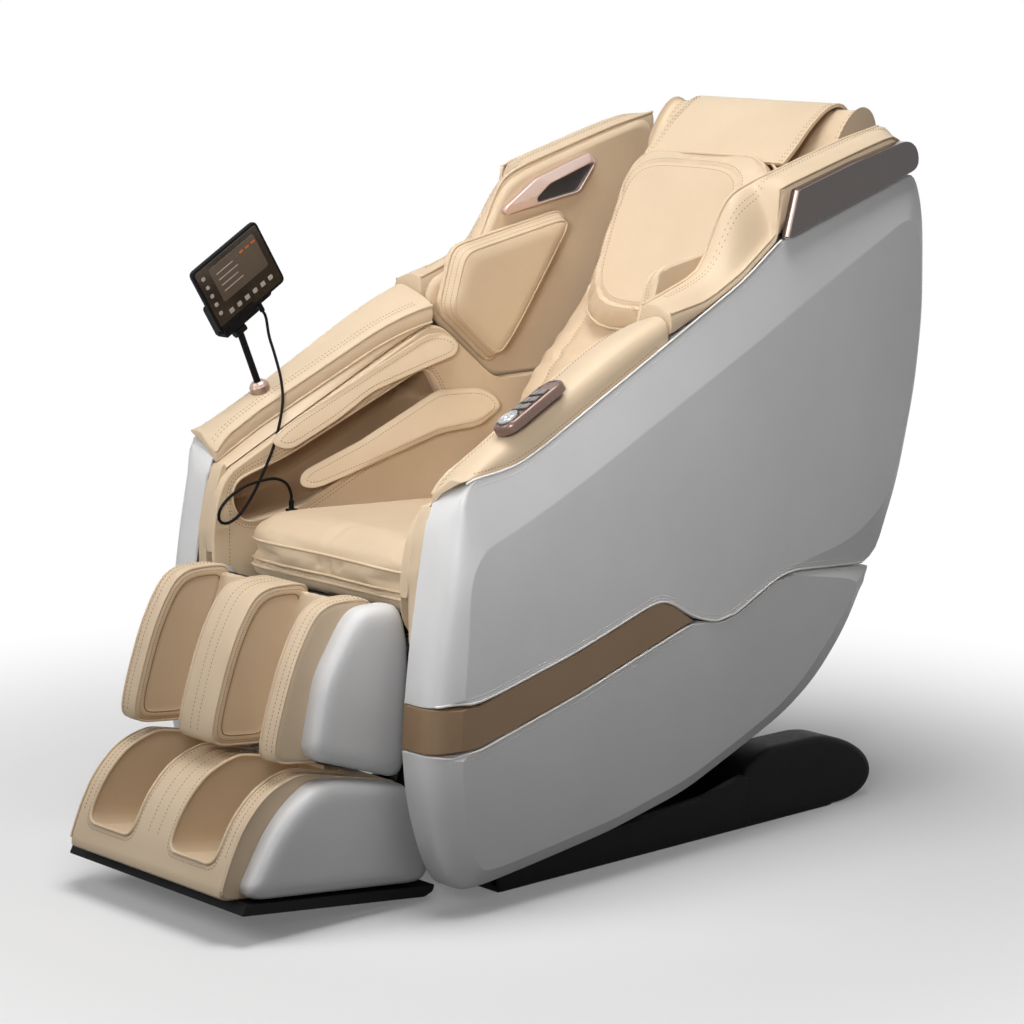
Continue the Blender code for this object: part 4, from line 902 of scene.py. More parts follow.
def swollen(bm, reach, walls=(), voxel=0.006, pressure=4.0):
    """Remeshes a form, swells it by at most a reach, and keeps it behind walls (point, outward normal)."""
    bm = remeshed(bm, voxel)
    pad = placed("pad", bm.copy())
    mesh = pad.data
    cloth = pad.modifiers.new("cloth", "CLOTH")
    cloth.settings.use_pressure = True
    cloth.settings.uniform_pressure_force = pressure
    cloth.settings.effector_weights.gravity = 0
    cloth.settings.quality = 4
    cloth.point_cache.frame_start = 1
    cloth.point_cache.frame_end = 20
    for tick in range(1, 21):
        scene.frame_set(tick)
    done = pad.evaluated_get(bpy.context.evaluated_depsgraph_get())
    for vert, moved in zip(bm.verts, [v.co.copy() for v in done.data.vertices]):
        step = moved - vert.co
        vert.co += step * min(1.0, reach / max(step.length, 1e-9))
    bpy.data.objects.remove(pad)
    bpy.data.meshes.remove(mesh)
    scene.frame_set(1)
    for point, normal in walls:
        for vert in bm.verts:
            past = (vert.co - point).dot(normal)
            if past > 0:
                vert.co -= normal * past
    bmesh.ops.smooth_vert(bm, verts=bm.verts, factor=0.5, use_axis_x=True, use_axis_y=True, use_axis_z=True)
    bm.normal_update()
    return bm


def plane_walls(*pairs):
    return [(Vector(point), Vector(normal).normalized()) for point, normal in pairs]


def round_rect(u0, u1, v0, v1, radius, steps=5):
    return rounded([(u0, v0), (u1, v0), (u1, v1), (u0, v1)], radius, steps)


def plate(place, u0, u1, v0, v1, rows, radius, steps=4):
    """A rounded plate through rows of inset and height, on the places that a function gives."""
    return bridged([[place(u, v, h) for u, v in round_rect(u0 + d, u1 - d, v0 + d, v1 - d, radius, steps)]
                    for d, h in rows])


print("swelling", "on")

# %% [markdown]
# ### Seat
# The seat is two layers, a flat one and a crowned one over it, with a piping round each. The groove
# between them is pressed in after the swelling.

# %% Seat
SEAT_REAR = 0.555
SEAT_FALL = 0.05                                        # drop of the seat to the rear, per metre


def on_seat(u, v, h):
    return at(u, v, 0.457 - SEAT_FALL * v + h)


seat_rows = [(0.016, 0.003), (0.005, 0.009), (0.002, 0.026), (0.004, 0.041), (0.014, 0.048), (0.008, 0.055),
             (0.004, 0.070), (0.010, 0.088), (0.030, 0.100), (0.075, 0.107)]
seat_loops = [[on_seat(u, v, h) for u, v in round_rect(-SEAT_HALF + d, SEAT_HALF - d, d, SEAT_REAR
                                                       - d * 0.15, 0.060)] for d, h in seat_rows]
seat_walls = plane_walls(((SEAT_HALF, 0, 0), TO_SIDE), ((-SEAT_HALF, 0, 0), TO_SITTER),
                         (on_seat(0, 0, 0.001), (0, -SEAT_FALL, -1)), (at(0, SEAT_REAR, 0), REARWARD))
seat = swollen(bridged(seat_loops), 0.012, seat_walls)
tree = BVHTree.FromBMesh(seat)


def round_seat(h):
    """Points round the seat's front and sides at a height, found from its middle outwards."""
    found = []
    for step in range(61):
        angle = math.radians(-10 + 200 * step / 60)
        start = on_seat(0, 0.30, h)
        ray = Vector((math.cos(angle), -math.sin(angle), 0))
        place, normal, _, _ = tree.ray_cast(start + ray * 0.7, -ray)
        if place is not None:
            found.append((place, normal))
    return found


press(seat, round_seat(0.046), 0.008, 0.006)
for height in (0.040, 0.052, 0.084):
    line = round_seat(height)
    pipe([place + normal * 0.0004 for place, normal in line], 0.0026, "chassis")
show("seat_pad", seat, "beige_leather", "chassis", ("seat_cushion",))

# %% [markdown]
# ### Back cushion
# The back is one long pad that leans 36 degrees. It is crowned across, has a piped edge down each side,
# and a few soft folds where the pillow presses on it.

# %% Back cushion
BACK_LEAN = math.radians(36)
BACK_UP = Vector((0, math.sin(BACK_LEAN), math.cos(BACK_LEAN)))
BACK_IN = Vector((0, math.cos(BACK_LEAN), -math.sin(BACK_LEAN)))
BACK_T = 0.075
LUMBAR = 0.026                                          # how far the lower back swells forward


def on_back(u, along, h):
    """A point on the back: across, along its length, and out from its rear face."""
    return at(u, 0.600, 0.640) + BACK_UP * along + BACK_IN * (BACK_T - h)


back_rows = [(0.010, 0.002), (0.003, 0.012), (0.003, 0.040), (0.008, 0.056), (0.026, 0.066), (0.060, 0.068)]
back_form = plate(on_back, -SEAT_HALF, SEAT_HALF, -0.085, 0.620, back_rows, 0.03, 5)
back_walls = plane_walls(((SEAT_HALF, 0, 0), TO_SIDE), ((-SEAT_HALF, 0, 0), TO_SITTER),
                         (on_back(0, 0, 0.001), BACK_IN), (on_back(0, 0, BACK_T + 0.004), -BACK_IN))
back_pad = swollen(back_form, 0.012, back_walls)
for vert in back_pad.verts:
    along = (vert.co - at(0, 0.600, 0.640)).dot(BACK_UP)
    out = BACK_T - (vert.co - at(0, 0.600, 0.640)).dot(BACK_IN)
    swell = LUMBAR * math.exp(-((along - 0.09) / 0.12) ** 2)
    pull = math.exp(-((along - 0.15) / 0.07) ** 2) * min(1, abs(vert.co.x) / 0.06)
    swell += 0.0024 * pull * math.sin(150 * (along + 0.35 * abs(vert.co.x)))
    vert.co -= BACK_IN * swell * min(1, max(0, out / BACK_T))
back_pad.normal_update()
for side in (-1, 1):
    edge = [on_back(side * (SEAT_HALF - 0.020), along / 20, 0.3) for along in range(1, 13)]
    pipe_on(back_pad, edge, BACK_IN, 0.0028, "chassis")
    inner = [on_back(side * (SEAT_HALF - 0.075), along / 20, 0.3) for along in range(0, 13)]
    line = laid(back_pad, inner, BACK_IN)
    press(back_pad, line, 0.007, 0.004)
    stitch(laid(back_pad, inner, BACK_IN), "chassis")
show("back_pad", back_pad, "beige_leather", "chassis", ("back_cushion",))

# %% [markdown]
# ### Head pillow
# The pillow has a rounded inner panel inside a padded border. The border's seam is pressed in along a
# rounded rectangle, and a piping runs round the outer edge. The panel is left bare.

# %% Head pillow
PILLOW_TILT = Matrix.Rotation(math.radians(6), 3, "X")
PILLOW_UP = PILLOW_TILT @ BACK_UP
PILLOW_OUT = PILLOW_TILT @ -BACK_IN
PILLOW_HALF = 0.184
PILLOW_H = 0.362
pillow_foot = at(0, 0.600, 0.640) + BACK_UP * 0.208 + BACK_IN * 0.0005


def on_pillow(u, v, h):
    return pillow_foot + Vector((u, 0, 0)) + PILLOW_UP * v + PILLOW_OUT * h


def pillow_outline(d):
    """Wider at the top than at the bottom."""
    return rounded([(-0.150 + d, d), (0.150 - d, d), (PILLOW_HALF - d, 0.24), (0.168 - d, PILLOW_H - d),
                    (-0.168 + d, PILLOW_H - d), (-PILLOW_HALF + d, 0.24)], 0.075, 5)


pillow_rows = [(0.012, 0.001), (0.004, 0.010), (0.003, 0.026), (0.010, 0.040), (0.030, 0.047)]
pillow_loops = [[on_pillow(u, v, h) for u, v in pillow_outline(d)] for d, h in pillow_rows]
pillow = swollen(bridged(pillow_loops), 0.012, plane_walls((on_pillow(0, 0, 0.0004), -PILLOW_OUT)), 0.005)
panel_guide = [on_pillow(u, v, 0.3) for u, v in pillow_outline(0.044)]
press(pillow, laid(pillow, panel_guide, -PILLOW_OUT, 0.005, True), 0.0055, 0.0035)
for gap in (0.037, 0.051):
    row = [on_pillow(u, v, 0.3) for u, v in pillow_outline(gap)]
    stitch(laid(pillow, row, -PILLOW_OUT, 0.0065, True), "chassis")
edge = [on_pillow(u, v, 0.3) for u, v in pillow_outline(0.010)]
pipe_on(pillow, edge, -PILLOW_OUT, 0.003, "chassis", closed=True)
pipe([on_pillow(u, v, 0.010) for u, v in pillow_outline(0.002)], 0.003, "chassis", closed=True)
show("head_rest", pillow, "beige_leather", "chassis", ("head_pillow",))

# %% [markdown]
# ### Head flap and back cover
# Over the pillow the head of the chair is a soft bolster that fills the width between the wings. A sheet
# of leather holds the pillow: it lies on the bolster and goes over the head and down behind, with a few
# soft folds. The white back cover closes the rear from base to head.

# %% Head flap


def strip_loops(path, width, x_values):
    """Loops round a bar of even thickness, one at each x, along (y, z) points."""
    points = [Vector(point) for point in path]
    left, right = [], []
    for i, point in enumerate(points):
        along = (points[min(i + 1, len(points) - 1)] - points[max(i - 1, 0)]).normalized()
        side = Vector((-along.y, along.x)) * (width / 2)
        left.append(point + side)
        right.append(point - side)
    return [[at(x, y, z) for y, z in left + right[::-1]] for x in x_values]


def smooth_path(points, spacing):
    line = smooth_line([Vector((0, y, z)) for y, z in points])
    return [(p.y, p.z) for p in even(line, spacing)]


BOLSTER_HALF = 0.226
FLAP_HALF = 0.170
FLAP_T = 0.006
bolster_skin = smooth_path([(0.950, 1.112), (0.976, 1.158), (1.002, 1.191), (1.027, 1.2065), (1.043, 1.192),
                            (1.0475, 1.150), (1.0435, 1.100), (1.0335, 1.045)], 0.012)
bolster_under = [(1.0225, 1.046), (1.0310, 1.100), (1.026, 1.125), (1.000, 1.135), (0.975, 1.128)]
head = rolled_bar(bolster_skin + bolster_under, -BOLSTER_HALF, BOLSTER_HALF, 0.004, 0.014)
flap_start = on_pillow(0, PILLOW_H - 0.012, 0.012)
flap_line = smooth_path([(flap_start.y - ARM_FRONT, flap_start.z), (0.921, 1.146), (0.958, 1.180),
                         (0.998, 1.2050), (1.028, 1.2125), (1.0475, 1.196), (1.0515, 1.150),
                         (1.0475, 1.100), (1.0375, 1.047)], 0.010)
flap = bridged(strip_loops(flap_line, FLAP_T, [FLAP_HALF * (step / 20 - 1) for step in range(41)]))
for vert in flap.verts:
    crease = noise.noise(Vector((vert.co.x * 13 + vert.co.y * 9, vert.co.y * 16, vert.co.z * 9)))
    free = min(1, max(0, (vert.co.z - 1.145) / 0.03)) * min(1, max(0, (1.03 + ARM_FRONT - vert.co.y) / 0.04))
    vert.co.z += free * crease * 0.0045
for x in (0.157, 0.163):
    guide = [at(x, y, 1.5) for y in (0.89, 0.92, 0.95, 0.98, 1.01)]
    stitch(laid(flap, guide, DOWN), "chassis", both=True)
for x in (0.205, 0.211):
    guide = [at(x, y, 1.5) for y in (0.965, 0.98, 1.00, 1.03)]
    stitch(laid(head, guide, DOWN), "chassis", both=True)
absorb(head, flap)
show("head_strap", head, "beige_leather", "chassis", ("head_flap",))

# %% Back cover
COVER_T = 0.008
cover_path = smooth_path([(0.885, 0.388), (0.930, 0.470), (0.980, 0.600), (1.014, 0.740), (1.030, 0.870),
                          (1.026, 1.020), (1.019, 1.056)], 0.02)
cover_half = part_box("back_cover")[1].x
cover = bridged(strip_loops(cover_path, COVER_T, [cover_half * (step / 8 - 1) for step in range(17)]))
soften(cover, sharp_edges(cover, 60), 0.0025)
for x in (0.105, 0.111):
    guide = [at(x, 1.4, z / 100) for z in range(41, 105, 2)]
    stitch(laid(cover, guide, -REARWARD, 0.0075), "chassis", "white_thread", both=True)
show("rear_cover", cover, "white_leather", "chassis", ("back_cover",))

# %% [markdown]
# ## Calf rest
# Three upright pads stand on a back wall and leave two channels for the calves. Each pad is cut to one
# side outline and padded across: it is bridged through shrunk copies of the outline. A lip runs round the
# channel side, with a smooth panel sunk inside it, and dense hem stitches on the lip.

# %% Calf pads
CALF_PAD = [(-0.1355, 0.252), (-0.0555, 0.484), (-0.062, 0.500), (-0.119, 0.503), (-0.146, 0.500),
            (-0.169, 0.487), (-0.194, 0.450), (-0.216, 0.406), (-0.241, 0.335), (-0.254, 0.286),
            (-0.249, 0.264)]
CALF_RIB = 0.045                                        # half width of the centre pad
SIDE_PAD_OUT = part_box("left_calf_pad")[1].x
SIDE_PAD_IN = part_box("left_calf_pad")[0].x
calf_outline = even(rounded(CALF_PAD, 0.030), 0.006, True)
# Outline inset and depth from the side.
LIP = [(0.0115, 0.0), (0.0045, 0.0016), (0.0012, 0.0055), (0.0, 0.012)]


def padded_slab(outline, x_from, x_to, panel_from, panel_to):
    """A slab across x with rolled edges, and a sunk panel on the sides that ask for one."""
    def end(x, way, panel):
        rows = [(d, x + way * depth) for d, depth in LIP]
        if panel:
            rows = [(0.024, x + way * 0.0022), (0.0175, x + way * 0.0018), (0.0145, x + way * 0.0003)] + rows
        return rows

    rows = end(x_from, 1, panel_from) + end(x_to, -1, panel_to)[::-1]
    return layered(outline, rows)


side_pad = padded_slab(calf_outline, SIDE_PAD_IN, SIDE_PAD_OUT, True, False)
centre_pad = padded_slab(calf_outline, -CALF_RIB, CALF_RIB, True, True)
print("calf pads", len(side_pad.faces), len(centre_pad.faces))

# %% [markdown]
# ### Seams of the calf pads
# The front band of each pad is sewn from strips: a piping on each edge, a seam with a row of
# thread on both sides, and the hem round the sunk panel.

# %% Calf pad seams
FRONT_OF_PAD = [(-0.072, 0.503), (-0.119, 0.503), (-0.146, 0.500), (-0.169, 0.487), (-0.194, 0.450),
                (-0.216, 0.406), (-0.241, 0.335), (-0.254, 0.288)]
CALF_OUT = Vector((0, 0.86, -0.51))                     # from in front and above, towards the pad
band = smooth_path(FRONT_OF_PAD, 0.012)


def calf_guide(x):
    return [at(x, y, z) - CALF_OUT * 0.1 for y, z in band]


hem = drawn_in(calf_outline, 0.0085)
hem_wall = drawn_in(calf_outline, 0.016)
for x in (-0.002, 0.016):
    stitch(laid(centre_pad, calf_guide(x - 0.010), CALF_OUT), "leg")
for x in (0.181, 0.193):
    stitch(laid(side_pad, calf_guide(x), CALF_OUT), "leg", both=True)
for pad, x, way, both in ((centre_pad, CALF_RIB, -1, False), (centre_pad, -CALF_RIB, 1, False),
                          (side_pad, SIDE_PAD_IN, 1, True)):
    rows = [at(x - way * 0.1, *point) for point in hem]
    stitch(laid(pad, rows, Vector((way, 0, 0)), 0.0045, True), "leg", length=0.0034, both=both)
    pipe([at(x + way * 0.0030, *point) for point in drawn_in(calf_outline, 0.0016)], 0.0021, "leg",
         closed=True, both=both)
    pipe([at(x + way * 0.0010, *point) for point in hem_wall], 0.0013, "leg", "beige_thread", closed=True,
         both=both)
pipe([at(SIDE_PAD_OUT - 0.002, *point) for point in drawn_in(calf_outline, 0.0022)], 0.0019, "leg",
     closed=True, both=True)
wall = rounded([(-0.135, 0.254), (-0.0562, 0.484), (-0.074, 0.488), (-0.154, 0.257)], 0.006)
for low, high in ((-SIDE_PAD_IN + 0.001, -CALF_RIB + 0.004), (CALF_RIB - 0.004, SIDE_PAD_IN - 0.001)):
    piece = bridged([in_side_view(wall, low + (high - low) * step / 16) for step in range(17)])
    for vert in piece.verts:
        gather = max(0, (vert.co.z - 0.455) / 0.03)
        vert.co.y -= 0.0025 * gather * (1 + math.sin(vert.co.x * 260)) * 0.5
    absorb(centre_pad, piece)
show("centre_calf_cushion", centre_pad, "beige_leather", "leg", ("centre_calf_pad",))
show_pair("calf_cushion", side_pad, "beige_leather", "leg", "calf_pad")

# %% [markdown]
# ### White sides of the calf and foot rests
# The sides are foam-backed leather over a board, so the front edge rolls over in a wide soft round.

# %% White leg sides
CALF_SIDE = [(-0.019, 0.207), (-0.006, 0.420), (-0.018, 0.470), (-0.028, 0.490), (-0.100, 0.492),
             (-0.125, 0.472), (-0.177, 0.394), (-0.206, 0.271)]
FOOT_SIDE = [(-0.333, 0.0715), (0.038, 0.030), (0.020, 0.140), (-0.007, 0.196), (-0.040, 0.206),
             (-0.177, 0.236), (-0.225, 0.214), (-0.269, 0.176), (-0.306, 0.120)]
ROLL = [(0.0, 0.0), (0.0, 0.45), (0.002, 0.66), (0.006, 0.83), (0.012, 0.94), (0.021, 0.99), (0.032, 1.0)]


def rolled_side(outline, turn):
    outline = even(rounded(outline, turn), 0.007, True)
    rows = [(d, LEG_IN + 0.0003 + (LEG_HALF - LEG_IN - 0.0003) * share) for d, share in ROLL]
    return layered(outline, rows)


show_pair("calf_side_cover", rolled_side(CALF_SIDE, 0.028), "white_leather", "leg", "calf_side")
foot_side = rolled_side(FOOT_SIDE, 0.040)
show_pair("foot_side_cover", foot_side, "white_leather", "foot", "foot_side")

# %% [markdown]
# ## Foot rest
# The foot cover is one leather-covered block with two wells. The wells are cut with a Boolean, and their
# floors round up into the walls, so each mouth is a U. The edge that the cut leaves is found again and
# carries the piping.

# %% Foot cover
FOOT_COVER = [(-0.342, 0.0689), (0.020, 0.0285), (-0.008, 0.197), (-0.030, 0.204), (-0.190, 0.2415),
              (-0.206, 0.243), (-0.245, 0.233), (-0.275, 0.217), (-0.310, 0.182), (-0.336, 0.136),
              (-0.352, 0.096), (-0.360, 0.076)]
WELL = [(-0.322, 0.108), (-0.130, 0.078), (-0.088, 0.120), (-0.075, 0.300), (-0.420, 0.300), (-0.420, 0.130),
        (-0.340, 0.118)]
WELL_ROWS = [(0.047, 0.034), (0.048, 0.020), (0.051, 0.010), (0.057, 0.003), (0.066, 0.0), (0.149, 0.0),
             (0.158, 0.003), (0.164, 0.010), (0.167, 0.020), (0.168, 0.034)]
FOOT_X = [-LEG_IN + 0.0008, -0.195, -0.10, 0.0, 0.10, 0.195, LEG_IN - 0.0008]
cover_outline = even(rounded(FOOT_COVER, 0.022), 0.008, True)
foot_block = layered(cover_outline, [(0.003 if abs(x) > 0.199 else 0.0, x) for x in FOOT_X])
block_skin = BVHTree.FromBMesh(foot_block)


def well_form(way):
    rows = []
    for x, lift in WELL_ROWS:
        outline = rounded([(y, z + lift if z < 0.15 else z) for y, z in WELL], 0.018)
        rows.append(in_side_view(outline, way * x))
    return bridged(rows)


def cut_by(bm, cutters):
    """The form with cutter forms taken out by Boolean modifiers."""
    holders = [placed("cutter", cutter) for cutter in cutters]
    steps = [("BOOLEAN", {"operation": "DIFFERENCE", "solver": "EXACT", "object": holder})
             for holder in holders]
    made = through(bm, *steps)
    for holder in holders:
        bpy.data.objects.remove(holder)
    return made


foot_form = cut_by(foot_block, [well_form(1), well_form(-1)])
mouth = [e for e in sharp_edges(foot_form, 25) if all(abs(abs(v.co.x) - 0.108) < 0.066
                                                      and block_skin.find_nearest(v.co)[3] < 1e-4
                                                      for v in e.verts)]


def chains(edges):
    """Edges put in order, as closed or open lines of points."""
    left = set(edges)
    lines = []
    while left:
        first = left.pop()
        line = list(first.verts)
        for end in (1, 0):
            while True:
                tip = line[-1] if end else line[0]
                step = next((e for e in tip.link_edges if e in left), None)
                if step is None:
                    break
                left.remove(step)
                if end:
                    line.append(step.other_vert(tip))
                else:
                    line.insert(0, step.other_vert(tip))
        lines.append([v.co.copy() for v in line])
    return lines


mouth_lines = [line for line in chains(mouth) if len(line) > 8]
print("well mouths", [len(line) for line in mouth_lines])
foot_form = through(foot_form, ("BEVEL", {"width": 0.005, "segments": 3, "limit_method": "ANGLE",
                                          "angle_limit": math.radians(28)}))
for line in mouth_lines:
    pipe(even(line, 0.006, True), 0.0032, "foot", closed=True)
    middle = sum(line, Vector()) / len(line)
    away = [point + (point - middle).normalized() * 0.011 for point in even(line, 0.006, True)]
    skin = BVHTree.FromBMesh(foot_form)
    row = [skin.find_nearest(point)[:2] for point in away]
    stitch([(place, normal) for place, normal in row if normal.z > -0.2], "foot")
for x in (0.012, -0.012, 0.186):
    guide = [at(x, y, z) - CALF_OUT * 0.1 for y, z in smooth_path([(-0.05, 0.21), (-0.206, 0.243),
                                                                   (-0.245, 0.233), (-0.310, 0.182),
                                                                   (-0.336, 0.136)], 0.01)]
    stitch(laid(foot_form, guide, CALF_OUT), "foot", both=x > 0.1)
seam_edge = drawn_in(cover_outline, 0.001)
pipe([at(LEG_IN - 0.001, *point) for point in seam_edge if point.y > 0.085], 0.0018, "foot", both=True)
show("foot_cushion", foot_form, "beige_leather", "foot", ("foot_cover",))

# %% Sole
SOLE = [(-0.339, 0.051), (0.023, 0.008), (0.040, 0.014), (0.044, 0.025), (-0.330, 0.068)]
sole = bridged([in_side_view(rounded(SOLE, 0.004), x) for x in (-LEG_HALF + 0.008, LEG_HALF - 0.008)])
soften(sole, sharp_edges(sole, 50), 0.0025)
show("sole_board", sole, "black_plastic", "foot", ("sole_plate",))

# %% [markdown]
# ## Arms and side linings
# The arm top is a padded board that slopes to the rear and dips towards the sitter. Its inner edge hangs
# thick over the lining. Sections are set along the arm, bridged, and smoothed by one subdivision step.

# %% Arm pad
PAD_REAR = 0.445
LINING_TOP = [(0.0, 0.632), (0.440, 0.842), (0.470, 0.835)]
PAD_EDGE = 0.036
STEP_X = SHELL_IN - 0.0015
PAD_OUT = SHELL_EDGE - 0.003


def arm_section(y):
    """Corners of the arm pad across the arm: ledge on the lining, thick inner edge, top and outer roll."""
    x_in = min(0.285 - 0.113 * y, STEP_X - 0.004)
    front_roll = 0.016 * max(0, 1 - y / 0.035) ** 2
    inner_top = arm_z(y, x_in) - front_roll
    under = arm_z(y, x_in) - PAD_EDGE
    ledge = along_line(LINING_TOP, y) + 0.0008
    foot = seam_z(y) + 0.0006
    crown_x = PAD_OUT - 0.030
    top = max(arm_z(y, crown_x) + 0.0015 - front_roll, foot + 0.002)
    outer = [(PAD_OUT - back, top - (top - foot) * share) for back,
             share in ((0.030, 0.0), (0.017, 0.05), (0.007, 0.20), (0.0015, 0.45), (0.0, 0.72),
                       (0.001, 0.95))]
    mid = (x_in + crown_x) / 2
    return [(STEP_X, ledge), (LINING_IN + 0.002, ledge), (x_in + 0.004, under), (x_in, under + 0.003),
            (x_in - 0.003, inner_top - PAD_EDGE / 2), (x_in, inner_top - 0.005),
            (x_in + 0.005, arm_z(y, x_in + 0.005) + 0.0005 - front_roll),
            (mid, arm_z(y, mid) + 0.003 - front_roll), *outer, (SHELL_EDGE, foot),
            (STEP_X, max(foot - 0.25 * (SHELL_EDGE - STEP_X), ledge + 0.001))]


pad_y = [0.0, 0.003, 0.009, 0.018] + [PAD_REAR * step / 14 for step in range(1, 14)] + [PAD_REAR - 0.004,
                                                                                        PAD_REAR]
arm_form = subdivided(bridged([[at(x, y, z) for x, z in arm_section(y)] for y in pad_y]), 1)
inner_edge = [at(arm_section(y)[5][0] - 0.0005, y, arm_section(y)[5][1] + 0.001) for y in pad_y[1:-1]]
lower_edge = [at(arm_section(y)[3][0] + 0.0005, y, arm_section(y)[3][1]) for y in pad_y[1:-1]]
pipe(inner_edge, 0.0026, "chassis", both=True)
pipe(lower_edge, 0.0024, "chassis", both=True)
for inward in (0.012, 0.018):
    guide = [at(arm_section(y)[5][0] + inward, y, 1.5) for y in pad_y[2:-2]]
    stitch(laid(arm_form, guide, DOWN), "chassis", both=True)
outer_row = [at(0.5, y, seam_z(y) + 0.008) for y in pad_y[4:-2]]
stitch(laid(arm_form, outer_row, TO_SITTER), "chassis", both=True)
show_pair("arm_top", arm_form, "beige_leather", "chassis", "arm_pad")

# %% [markdown]
# ### Side lining with its arm window
# Under the arm a window opens into a channel where the forearm is massaged. The lining is filled between
# its outline and the window's with a triangle fill, and drawn out to its thickness. The channel behind it
# is a pocket in a darker beige, which is painted shade for the deep recess.

# %% Side lining
LINING = [(0.000, 0.420), (0.620, 0.420), (0.700, 0.560), (0.785, 0.735), (0.590, 0.735), (0.470, 0.835),
          (0.440, 0.842), (0.0, 0.632), (-0.020, 0.600), (-0.034, 0.540), (-0.034, 0.470)]
WINDOW = [(0.006, 0.580), (0.030, 0.545), (0.150, 0.560), (0.470, 0.700), (0.430, 0.770), (0.120, 0.645),
          (0.012, 0.615)]
window = even(rounded(WINDOW, 0.022), 0.008, True)


def walled(outline, opening, x_in, x_out):
    """A board between two x planes, cut to an outline, with an opening in it."""
    bm = bmesh.new()
    edges = []
    for loop in (outline, opening):
        verts = [bm.verts.new(at(x_in, y, z)) for y, z in loop]
        edges += [bm.edges.new(pair) for pair in zip(verts, verts[1:] + verts[:1])]
    bmesh.ops.triangle_fill(bm, edges=edges, use_beauty=True, use_dissolve=True)
    drawn = bmesh.ops.extrude_face_region(bm, geom=bm.faces[:])
    moved = [v for v in drawn["geom"] if isinstance(v, bmesh.types.BMVert)]
    bmesh.ops.translate(bm, vec=(x_out - x_in, 0, 0), verts=moved)
    bmesh.ops.recalc_face_normals(bm, faces=bm.faces)
    return bm


lining = walled(even(rounded(LINING, 0.02), 0.012, True), window, LINING_IN, LINING_OUT)
front_edges = [e for e in sharp_edges(lining, 60) if all(v.co.x < LINING_IN + 0.001 for v in e.verts)]
soften(lining, front_edges, 0.004)
pocket_rows = [(0.0, LINING_OUT - 0.004), (0.002, 0.290), (0.006, 0.320), (0.014, 0.334), (0.020, 0.335)]
pocket = layered(window, pocket_rows, close=(False, True))
bmesh.ops.reverse_faces(pocket, faces=pocket.faces)
pipe([at(LINING_IN - 0.0006, y, z) for y, z in drawn_in(window, -0.003)], 0.0026, "chassis", closed=True,
     both=True)
for out in (0.011, 0.017):
    row = [at(0.1, y, z) for y, z in drawn_in(window, -out)]
    stitch(laid(lining, row, TO_SIDE, 0.0065, True), "chassis", both=True)
front_seam = [at(0.1, 0.000, 0.44), at(0.1, 0.000, 0.53), at(0.1, 0.004, 0.60)]
stitch(laid(lining, front_seam, TO_SIDE), "chassis", both=True)
# The ears of the leg frame swing inside the lining, so its outer side has a pocket, and the post that
# closes the front between lining and shell stays beside them and only reaches over them higher up.
EAR_POCKET = [(-0.10, 0.38), (0.060, 0.38), (0.060, 0.528), (0.008, 0.528), (-0.040, 0.4995), (-0.10, 0.465)]
lining = cut_by(lining, [bridged([in_side_view(EAR_POCKET, x)
                                  for x in (LINING_IN + 0.004, LINING_OUT + 0.010)])])
POST_TOP = [(0.006, 0.645), (-0.001, 0.645), (-0.0195, 0.598), (-0.0335, 0.540)]
EAR_SIDE = LINING_OUT + 0.0027
post = [(-0.0335, 0.425), (0.006, 0.425)] + POST_TOP
post_over_ear = [(-0.0335, 0.501), (0.006, 0.524)] + POST_TOP
absorb(lining, rolled_bar(post, EAR_SIDE, SHELL_IN - 0.0004, 0.008, 0.0015))
absorb(lining, rolled_bar(post_over_ear, LINING_OUT - 0.004, EAR_SIDE + 0.003, 0.008, 0.0002))
show_pair("side_lining", lining, "beige_leather", "chassis", "inner_panel")
# The pocket's darker beige is painted shade for the recess.
show_pair("arm_channel", pocket, "channel_painted_shade", "chassis")

# %% [markdown]
# ### Airbag flaps
# Two sheets of leather with an airbag inside hang on the lining: one under the arm and one above the
# seat. They are shallow pads with a sewn hem all round, and their lower edges stand off a little.

# %% Airbag flaps
UPPER_FLAP = [(0.085, 0.670), (0.112, 0.661), (0.211, 0.700), (0.299, 0.742), (0.410, 0.772), (0.478, 0.789),
              (0.492, 0.806), (0.470, 0.824), (0.430, 0.826), (0.139, 0.708), (0.088, 0.682)]
LOWER_FLAP = [(0.135, 0.596), (0.165, 0.590), (0.347, 0.634), (0.437, 0.656), (0.530, 0.660), (0.582, 0.688),
              (0.572, 0.708), (0.545, 0.722), (0.449, 0.726), (0.399, 0.706), (0.278, 0.658), (0.150, 0.617)]
FLAP_ROWS = [(0.003, 0.0), (0.0005, 0.0015), (0.0, 0.004), (0.0015, 0.0060), (0.006, 0.0066), (0.014, 0.0080)]
FLAP_LEAN = 0.5                                         # the lower edge stands off the lining by this slope
FLAP_STAND = 0.021


def stand_off(point, hinge):
    """A point of a flap, moved out from the lining by its depth under the line that the flap hangs from."""
    depth = max(0, along_line(hinge, point.y - ARM_FRONT) - point.z)
    return point - Vector((min(FLAP_LEAN * depth, FLAP_STAND), 0, 0))


